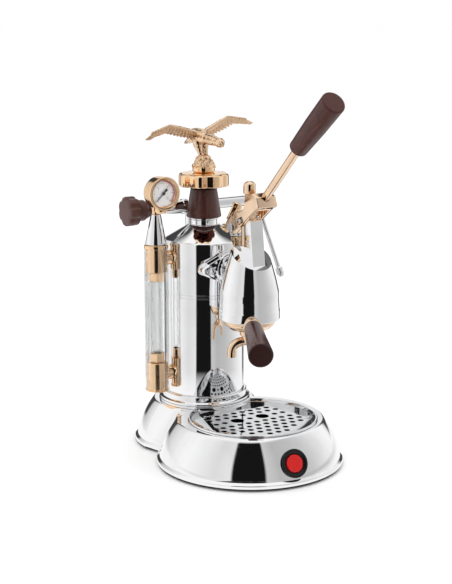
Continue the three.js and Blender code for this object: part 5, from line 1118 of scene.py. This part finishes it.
# %% Glass and needle
pane = turned([(0, 1.3), (15.4, 1.3, 0.2), (15.4, 2.5, 0.2), (0, 2.5)])
piece("gauge_window", aimed(pane, dial_centre, BACK), dial_glass, ["gauge_glass"])
pointer_line = ((-1.3, -6), (-0.9, -3), (-0.7, 0), (-0.3, 11.3), (0, 11.5), (0.3, 11.3), (0.7, 0), (0.9, -3),
                (1.3, -6), (0, -6.2))
scale_start, scale_end, arc_start = -135, 135, 0
pointer = lofted([[Vector((x, depth, z)) for x, z in pointer_line] for depth in (0, 0.3, 0.6)])
pointer = moved(pointer, Matrix.Rotation(radians(scale_start), 4, "Y"))
hub = turned([(0, -2.1), (0.8, -2.1), (0.8, -0.6), (1.9, -0.6), (1.9, 0.5, 0.4), (0, 0.6)], thin_sides)
needle = shifted(joined(pointer, aimed(hub, (0, 0, 0), FORWARD)), sight_x, gauge_front + 3.5, gauge_z)
piece("pointer", needle, needle_grey, ["gauge_needle"], sharp=50)

# %% The dial and its ticks
dial_back, dial_thickness = 6.1, 0.8
dial_face = gauge_front + dial_back - dial_thickness
disc = hollow([(1.1, dial_back - dial_thickness), (15.4, dial_back - dial_thickness), (15.4, dial_back),
               (1.1, dial_back)])
piece("dial", aimed(disc, dial_centre, BACK), dial_white, ["gauge_dial"])


def on_dial(reach, turn, lift):
    angle = radians(turn)
    return Vector((sight_x + reach * sin(angle), dial_face - lift, gauge_z + reach * cos(angle)))


def along_scale(start, share, whole):
    return start + (scale_end - start) * share / whole


tick_reach, tick_count = 12.4, 31
ticks = []
for k in range(tick_count):
    turn = along_scale(scale_start, k, tick_count - 1)
    length, width = (2.4, 0.42) if k % 5 == 0 else (1.3, 0.26)
    ticks.append((on_dial(tick_reach - length / 2, turn, 0), (0, radians(turn), 0), (width, 0.12, length)))
marks = repeated(block((-0.5, -0.5, -0.5), (0.5, 0.5, 0.5)), ticks, dial_black)

# %% The red arc and the figures
arc_steps, arc_inner, arc_outer, ink = 48, 12.7, 14.3, 0.06
arc_rings = []
for k in range(arc_steps + 1):
    turn = along_scale(arc_start, k, arc_steps)
    arc_rings.append([on_dial(reach, turn, lift) for reach, lift in
                      ((arc_inner, ink), (arc_outer, ink), (arc_outer, 0), (arc_inner, 0))])
piece("dial_arc", lofted(arc_rings), dial_red, [], "machine")
last_figure = 3
for number in range(last_figure + 1):
    text = bpy.data.curves.new("number", "FONT")
    text.body, text.size, text.extrude = str(number), 4.6, 0.03
    text.align_x, text.align_y = "CENTER", "CENTER"
    written = bpy.data.objects.new("number", text)
    scene.collection.objects.link(written)
    shape = read_back(written)
    bpy.data.objects.remove(written)
    place = on_dial(7.6, along_scale(scale_start, number, last_figure), 0.05)
    marks = joined(marks, moved(shape, Matrix.Translation(place) @ Matrix.Rotation(pi / 2, 4, "X")))
piece("dial_marks", marks, dial_black, [], "machine")

# %% [markdown]
# ## Steam tap, wand and safety valve
# The tap's tube crosses behind the cap, with a brown lobed knob on the left and a ball joint for the wand on
# the right. The wand swings on that ball.

# %% The tap and its spindle
tap_y, tap_z = 28, shoulder + 32


def tap_line(x):
    return Vector((x, tap_y, tap_z))


tap_tube = hollow([(3, 0), (6, 0), (6, 82, 0.5), (3, 82, 0.4)])
bonnet = hollow([(3.7, 0), (9, 0, 1.2), (8.6, 6, 0.6), (7.9, 7, 0.4), (7.6, 14, 0.6), (6.2, 28, 1.2),
                 (3.7, 28, 0.3)])
stub = cut(bar((0, tap_y, shoulder), tap_line(0), 6.5, small_sides), boiler_keep)
tap = joined(aimed(tap_tube, tap_line(-6), RIGHT), aimed(bonnet, tap_line(-6), LEFT), stub)
piece("tap_pipe", tap, thin_chrome, ["tap_body"])
piece("spindle", bar(tap_line(-20.3), tap_line(-68.7), 3.4, small_sides), pin_steel, ["tap_spindle"])

# %% The lobed knob, turned to face left
knob_hub = hollow([(3.7, 0), (8.4, 0, 2), (9.6, 3.6, 2), (11.6, 6.8, 2), (11.6, 13.6, 1.2), (10.6, 15.6),
                   (3.7, 15.6)])
knob_rows = [(5.5, 0), (2.4, 0.1), (0.7, 0.8), (0, 2.4), (0, 10.6), (0.8, 12.4), (2.4, 13.2), (5.5, 13.5)]
disc = moved(lobed(16.4, 7, 1.6, knob_rows, 210), Matrix.Rotation(pi, 4, "Y"))
disc = moved(disc, Matrix(((0, 0, 1, 0), (1, 0, 0, 0), (0, 1, 0, 0), (0, 0, 0, 1))))
knob = joined(aimed(knob_hub, tap_line(-54.4), LEFT), shifted(disc, -70, tap_y, tap_z))
piece("lobed_knob", knob, knob_brown, ["tap_knob"])

# %% The wand with its nut, ball and nozzle
nut = hexagon([(0, 0), (8.2, 0), (9.2, 0.6), (9.2, 6.5), (8.2, 7.1), (0, 7.1)])
nut = cut(aimed(nut, tap_line(76.3), RIGHT), bar(tap_line(79.8), tap_line(86), 7.2, small_sides),
          bar(tap_line(74), tap_line(81), 3))
piece("ball_nut", nut, thin_chrome, ["wand_nut"])
ball_at = tap_line(86.9)
wand_run = Vector((9, -42, -87.5)).normalized()
pipe_end = ball_at + wand_run * 88
pipe = joined(ball(ball_at, (6.5, 6.5, 6.5), UP, 32), bar(ball_at, pipe_end, 2.4, small_sides))
piece("wand_pipe", pipe, thin_chrome, ["steam_wand"])
tip = hollow([(1.1, 6), (2.7, 6), (2.7, 0), (3.4, 0, 0.3), (4.1, 1.8, 0.8), (4.1, 8.4, 1.6), (2.6, 11, 1.2),
              (1.1, 11)], small_sides)
piece("wand_nozzle", aimed(tip, pipe_end - wand_run * 5.7, wand_run), thin_chrome, ["wand_tip"])

# %% The safety valve stands square to the boiler's cone
valve_x = 30
slope = (cone_top - shoulder) / (boiler_radius - cone_reach)
valve_foot = Vector((valve_x, 0, shoulder + (boiler_radius - valve_x) * slope))
valve_lean = Vector((0.5, 0, cos(radians(30))))
valve_start = valve_foot - valve_lean * 2
valve = turned([(0, 0), (6.6, 0), (6.6, 4, 0.5), (3.6, 6, 0.5), (3.6, 11), (5.2, 11, 0.4), (5.2, 14, 0.3),
                (4.8, 14.4, 0.2), (4.8, 15.2, 0.2), (5.2, 15.6, 0.3), (5.2, 26, 0.3), (2.4, 26), (2.4, 29),
                (0, 29)], small_sides)
cone_keep = turned([(0, 40), (boiler_radius + 0.3, 40), (boiler_radius + 0.3, shoulder + 0.3),
                    (17.3, cone_top + 0.3), (0, cone_top + 0.3)])
valve = cut(aimed(valve, valve_start, valve_lean), cone_keep)
piece("valve_body", valve, rose_gold, ["safety_valve_body"])
dome = turned([(0, 3), (2.7, 3), (2.7, 0), (5.9, 0, 0.3), (5.9, 6, 2.8), (0, 6)], small_sides)
dome = aimed(dome, valve_start + valve_lean * 26.3, valve_lean)
piece("valve_dome", dome, rose_gold, ["safety_valve_cap"])

# %% [markdown]
# ## The lever group
# The group is a chromed bell whose upper part is cut off on a slope. A flat tongue stands on that slope,
# carries the fulcrum, and is slotted for the piston rod. Heights here start at the bell's lower rim.

# %% The bell and its tongue
rim, group_y, flange_height = 158, -group_forward, 47
pivot = Vector((0, -74, 96))
pin_bore = 3.8


def at_rim(shape):
    return shifted(shape, 0, 0, rim)


def about_group(shape):
    return shifted(shape, 0, group_y, rim)


bell = turned([(0, 0), (32.5, 0, 1.2), (32.5, 10, 1), (32.1, 11, 0.5), (31.4, 22, 1), (31.4, 30, 12),
               (28.5, 43, 14), (25.5, 54, 18), (19, 76, 3), (0, 76)], wide_sides)
slope_start, slope_top = 82, 75
slope_drop = (slope_top - 59) / (111 - slope_start)
keep_off = side_plate([(130, slope_top - (130 - slope_start) * slope_drop), (50, slope_top + 32 * slope_drop),
                       (50, 150), (130, 150)], 60)
bell = cut(about_group(bell), at_rim(keep_off))
tongue = side_plate([(111, 57), (111, 59), (107.9, 82, 32), (104.8, 107, 2.5), (82.4, 107, 8.4),
                     (65.6, 104.4, 8.4), (65.6, 87.6, 8.4), (82, 57)], 7.5, 10)
print("bell", len(bell[1]), "faces, tongue", len(tongue[1]))

# %% The neck and the flange, with a pocket round it for the nuts
neck = turned([(0, 0), (17, 0), (17, 26.5), (15.6, 31.5, 2.4), (15.8, 37, 3), (18.5, 40.5, 1), (0, 40.5)])
neck = aimed(neck, (0, group_y, flange_height), BACK)
flange_back, flange_front, pocket_floor = -47, -55, -50.8
pocket = lozenge_plate(flange_height, [(flange_front - 2, 2.4, 4.8), (pocket_floor, 2.4, 4.8)])
pocket = cut(pocket, bar((0, flange_front - 4, flange_height), (0, pocket_floor + 4, flange_height), 18.5,
                         round_sides))
flange = cut(eased_lozenge(flange_height, flange_front, flange_back), pocket, *stud_holes(-60, flange_height))
print("flange", len(flange[1]), "faces")

# %% Cut the cylinder, the slot for the crosspin, the notch for the lugs and the fulcrum's hole
cavity = turned([(0, -2), (25.8, -2), (25.8, 2.2), (28, 2.2), (28, 14), (22, 14), (22, 56.5), (5.3, 56.5),
                 (5.3, 110), (0, 110)])
pin_slot = block((-10, group_y - 4, 77.6), (10, group_y + 4, 110))
notch = moved(block((-28, -8.3, -2), (28, 8.3, 2.5)), Matrix.Rotation(-radians(72), 4, "Z"))
body = cut(welded(bell, at_rim(tongue), at_rim(neck)), about_group(cavity), at_rim(pin_slot),
           about_group(notch), at_rim(crossbar(10, pivot, pin_bore)))
piece("bell", joined(body, at_rim(flange)), chrome, ["group_bell"], sharp=30)

# %% The two acorn nuts
acorn = joined(hexagon([(0, 0), (3.7, 0), (4.4, 0.5), (4.4, 2.6), (3.7, 3), (0, 3)]),
               turned([(0, 0.5), (3.8, 0.5), (3.8, 3.3), (3.6, 5.6, 2.4), (0, 5.6)], thin_sides),
               turned([(0, -10.5), (2.2, -10.5), (2.2, 1.5), (0, 1.5)], hole_sides))
for name, x in (("left", -stud_x), ("right", stud_x)):
    nut = at_rim(aimed(acorn, (x, pocket_floor - 0.3, flange_height), FORWARD))
    piece("acorn_nut_" + name, nut, thin_chrome, ["flange_nut_" + name])

# %% [markdown]
# ## Lever, piston rod and pins
# The fork straddles the tongue on the fulcrum pin. Its slots take the piston pin, so that pulling the handle
# down lifts the rod. The fork's nose is open below, where it has to pass the tongue.

# %% A plate with eased edges, each layer drawn in by its own inset
def eased_plate(corners, layers):
    line = rounded(corners, True, 10)
    line = [point for k, point in enumerate(line) if (point - line[k - 1]).length > 0.02]
    rings = []
    for x, inset in layers:
        ring = []
        for k, point in enumerate(line):
            way = line[(k + 1) % len(line)] - line[k - 1]
            inward = Vector((way.y, -way.x)).normalized()
            ring.append(Vector((x, -(point.x + inward.x * inset), point.y + inward.y * inset)))
        rings.append(ring)
    return lofted(rings)


# %% The fork
rest_angle = radians(27)
fork = eased_plate([(65.6, 93.5, 8.4), (75.7, 87.6, 8.4), (119.4, 120.3, 2.2), (127, 123.2, 2.2),
                    (122.7, 133.3, 2.2), (115, 136.7, 2.2), (102, 134.8, 2.2), (98, 118.4, 8.4),
                    (83.4, 113.5, 8.4), (65.6, 101, 8.4)],
                   [(-12, -0.7), (-11.6, -0.2), (-11.2, 0), (11.2, 0), (11.6, -0.2), (12, -0.7)])
channel = block((-8, -110, 50), (8, -60, 150))
relief = side_plate([(108, 121.2), (110, 121.2), (117, 119), (119.4, 115), (108, 96)], 8)
along_fork = Vector((0, -cos(rest_angle), sin(rest_angle)))
slot_start, slot_end, slot_half = 18.2, 23.8, 3.4
near, far_end = pivot + along_fork * slot_start, pivot + along_fork * slot_end
slot = side_plate([(0, -slot_half), (5.6, -slot_half), (5.6, slot_half), (0, slot_half)], 14)
slot = moved(slot, Matrix.Translation(near) @ Matrix.Rotation(-rest_angle, 4, "X"))
holes = [crossbar(14, *hole) for hole in ((pivot, pin_bore), (near, slot_half), (far_end, slot_half))]
rod_start, rod_end, rod_bore = Vector((0, -112, 123)), Vector((0, -178.8, 188.2)), 4.7
rod_run = (rod_end - rod_start).normalized()
fork = cut(fork, channel, relief, slot, *holes, bar(rod_start - rod_run * 0.3, rod_end, rod_bore))
piece("fork", at_rim(fork), pale_gold, ["lever_fork"], sharp=32)

# %% The rod, bent a little before the handle
handle_end, bend_reach, bend_steps = Vector((0, -237, 238.2)), 6, 8
handle_run = (handle_end - rod_end).normalized()
bend_start, bend_end = rod_end - rod_run * bend_reach, rod_end + handle_run * bend_reach
bend = [on_curve(bend_start, rod_end, bend_end, k / bend_steps) for k in range(1, bend_steps)]
path = [rod_start, bend_start, *bend, bend_end, rod_end + handle_run * 22]
piece("rod", at_rim(swept(path, 4.4, small_sides)), pale_gold, ["lever_rod"], sharp=50)


# %% A turned grip: bored for its rod, narrow at its neck, and swelling to its flat end
def grip(start, run, bore, neck, swell, wide):
    (bore_radius, bore_depth), (narrow, foot) = bore, neck
    shape = turned([(0, bore_depth), (bore_radius, bore_depth), (bore_radius, foot), (narrow, foot, 1.6),
                    (*swell, run.length), (wide, run.length, 1.8), (0, run.length - 0.4)], steps=10)
    return aimed(shape, start, run)


handle_turn = (atan2(handle_run.y, handle_run.z), 0, 0)
lever_wood = grained("lever wood", (0.028, 0.007, 0.005), (0.14, 0.032, 0.020), handle_turn)
handle = grip(rod_end, handle_end - rod_end, (rod_bore, 22.3), (9.6, 0), (11.5, 38.4), 12.4)
piece("lever_grip", at_rim(handle), lever_wood, ["lever_handle"])

# %% Fulcrum pin, piston rod and its pin
rivet = turned([(0, -13.6), (4.4, -13.6), (5, -13.1), (5, -12.3), (3.5, -12.3), (3.5, 12.3), (5, 12.3),
                (5, 13.1), (4.4, 13.6), (0, 13.6)], small_sides)
piece("fulcrum_rivet", at_rim(aimed(rivet, pivot, RIGHT)), pin_steel, ["fulcrum_pin"])
pin_at = Vector((0, group_y, pivot.z + 18 * tan(rest_angle)))
pin_bar = turned([(0, -12.8), (2.1, -12.8), (2.5, -12.4), (2.5, 12.4), (2.1, 12.8), (0, 12.8)], small_sides)
piece("crosspin", at_rim(aimed(pin_bar, pin_at, RIGHT)), pin_steel, ["piston_pin"])
head_radius, dome_steps = 6.65, 16
rod_profile = [(0, 44.3), (5, 44.3, 0.4), (5, 133), (6, 133), (head_radius, 133.7, 0.4)]
for k in range(dome_steps + 1):
    climb = pi / 2 * k / dome_steps
    rod_profile.append((head_radius * cos(climb), 140.6 + 5.9 * sin(climb)))
rod = cut(about_group(turned(rod_profile)), at_rim(crossbar(14, pin_at, 2.8)))
piece("plunger_rod", rod, pale_gold, ["piston_rod"])

# %% [markdown]
# ## The portafilter
# The portafilter is turned in under the bell, with its handle towards the left front. Everything on it is
# laid out straight ahead first and then turned as one about the group's axis.

# %% Cup, lugs and arm
locked_turn = radians(27)
locked = Matrix.Translation((0, group_y, rim)) @ Matrix.Rotation(-locked_turn, 4, "Z")
handle_from, handle_to = Vector((0, -34, -1.5)), Vector((0, -112, -12))
handle_way = handle_to - handle_from


def on_arm(shape):
    return moved(aimed(shape, handle_from, handle_way), locked)


cup = hollow([(4, -8), (4, -11), (5, -11), (5, -18.4), (10, -18.4, 1), (10, -12, 1.4), (12, -11, 0.6),
              (21, -11, 5), (27, -5, 4), (27, -0.3, 0.5), (25, -0.3), (25, 8.8), (22.9, 8.8), (22.9, -8)],
             wide_sides)
lugs = combined(hollow([(23.9, 2.6), (27.3, 2.6, 0.4), (27.3, 6.2, 0.4), (23.9, 6.2)]),
                [block((-30, -8, 0), (30, 8, 9))], "INTERSECT")
arm_rings = []
for y, half, low, high in ((-24, 6.5, -9.3, -0.8), (-28, 5.2, -9.2, -0.9), (-32.6, 5, -7.4, -0.9)):
    corners = [(-half, low, 1.6), (half, low, 1.6), (half, high, 1.2), (-half, high, 1.2)]
    arm_rings.append([Vector((point.x, y, point.y)) for point in rounded(corners, True, 5)])
pad = turned([(0, -1.2), (7.6, -1.2), (8, -0.8), (8, 0), (4, 0), (4, 26), (0, 26)], small_sides)
cup_body = joined(cup, lugs, lofted(arm_rings), aimed(pad, handle_from, handle_way))
piece("portafilter_cup", moved(cup_body, locked), pale_gold, ["portafilter_body"])

# %% Ferrule and handle
ferrule = hollow([(4.3, 0.3), (9.4, 0.3, 0.4), (10, 1.2, 0.6), (10, 4.6, 0.8), (9.2, 5.4, 0.4), (4.3, 5.4)])
piece("ferrule", on_arm(ferrule), pale_gold, ["portafilter_ferrule"])
grip_end = (locked @ handle_to) * MM + Vector((0, boiler_y, 0))
grip_way = (locked.to_3x3() @ handle_way).normalized()
side_wood = grained("portafilter wood", (0.024, 0.006, 0.005), (0.15, 0.035, 0.023),
                    (radians(96), 0, locked_turn), (0.26, 0.36), 0.3,
                    (grip_way, grip_way.dot(grip_end) - 0.0012))
side_grip = grip(handle_from, handle_way, (4.3, 26.3), (9.5, 5.7), (10.6, 35.4), 12.9)
piece("side_grip", moved(side_grip, locked), side_wood, ["portafilter_handle"])

# %% The basket
pot = turned([(0, -6.5), (22.5, -6.5, 2), (22.5, 9.1), (24.6, 9.1), (24.6, 9.55), (21.6, 9.55),
              (21.6, -5.6, 2), (0, -5.6)])
pot = cut(pot, bar((0, 0, -10), (0, 0, -3), 1.1, 24))
piece("basket", moved(pot, locked), plate_steel, ["filter_basket"])

# %% The twin spout follows an arch on both sides of its hub
spout_reach, spout_top, spout_bend, arch_steps = 18.5, -24.5, -37.5, 16


def arch(drop):
    foot, corner, crown = (Vector((x, 0, z)) for x, z in
                           ((-spout_reach, spout_bend), (-spout_reach, spout_top), (0, spout_top)))
    left = [Vector((-spout_reach, 0, -42 - drop)), Vector((-spout_reach, 0, -39)), foot]
    left += [on_curve(foot, corner, crown, k / arch_steps) for k in range(1, arch_steps + 1)]
    return left + [Vector((-point.x, 0, point.z)) for point in reversed(left[:-1])]


hub = turned([(0, -27), (7.2, -27, 1.5), (7.2, -18.7, 1), (4.6, -18.7), (4.6, -13.7), (0, -13.7)])
spout = cut(welded(swept(arch(0), 5, thin_sides), hub), swept(arch(2), 3.6, thin_sides),
            bar((0, 0, spout_top), (0, 0, -12), 3.6))
piece("twin_spout", moved(spout, locked), pale_gold, ["double_spout"], sharp=40)
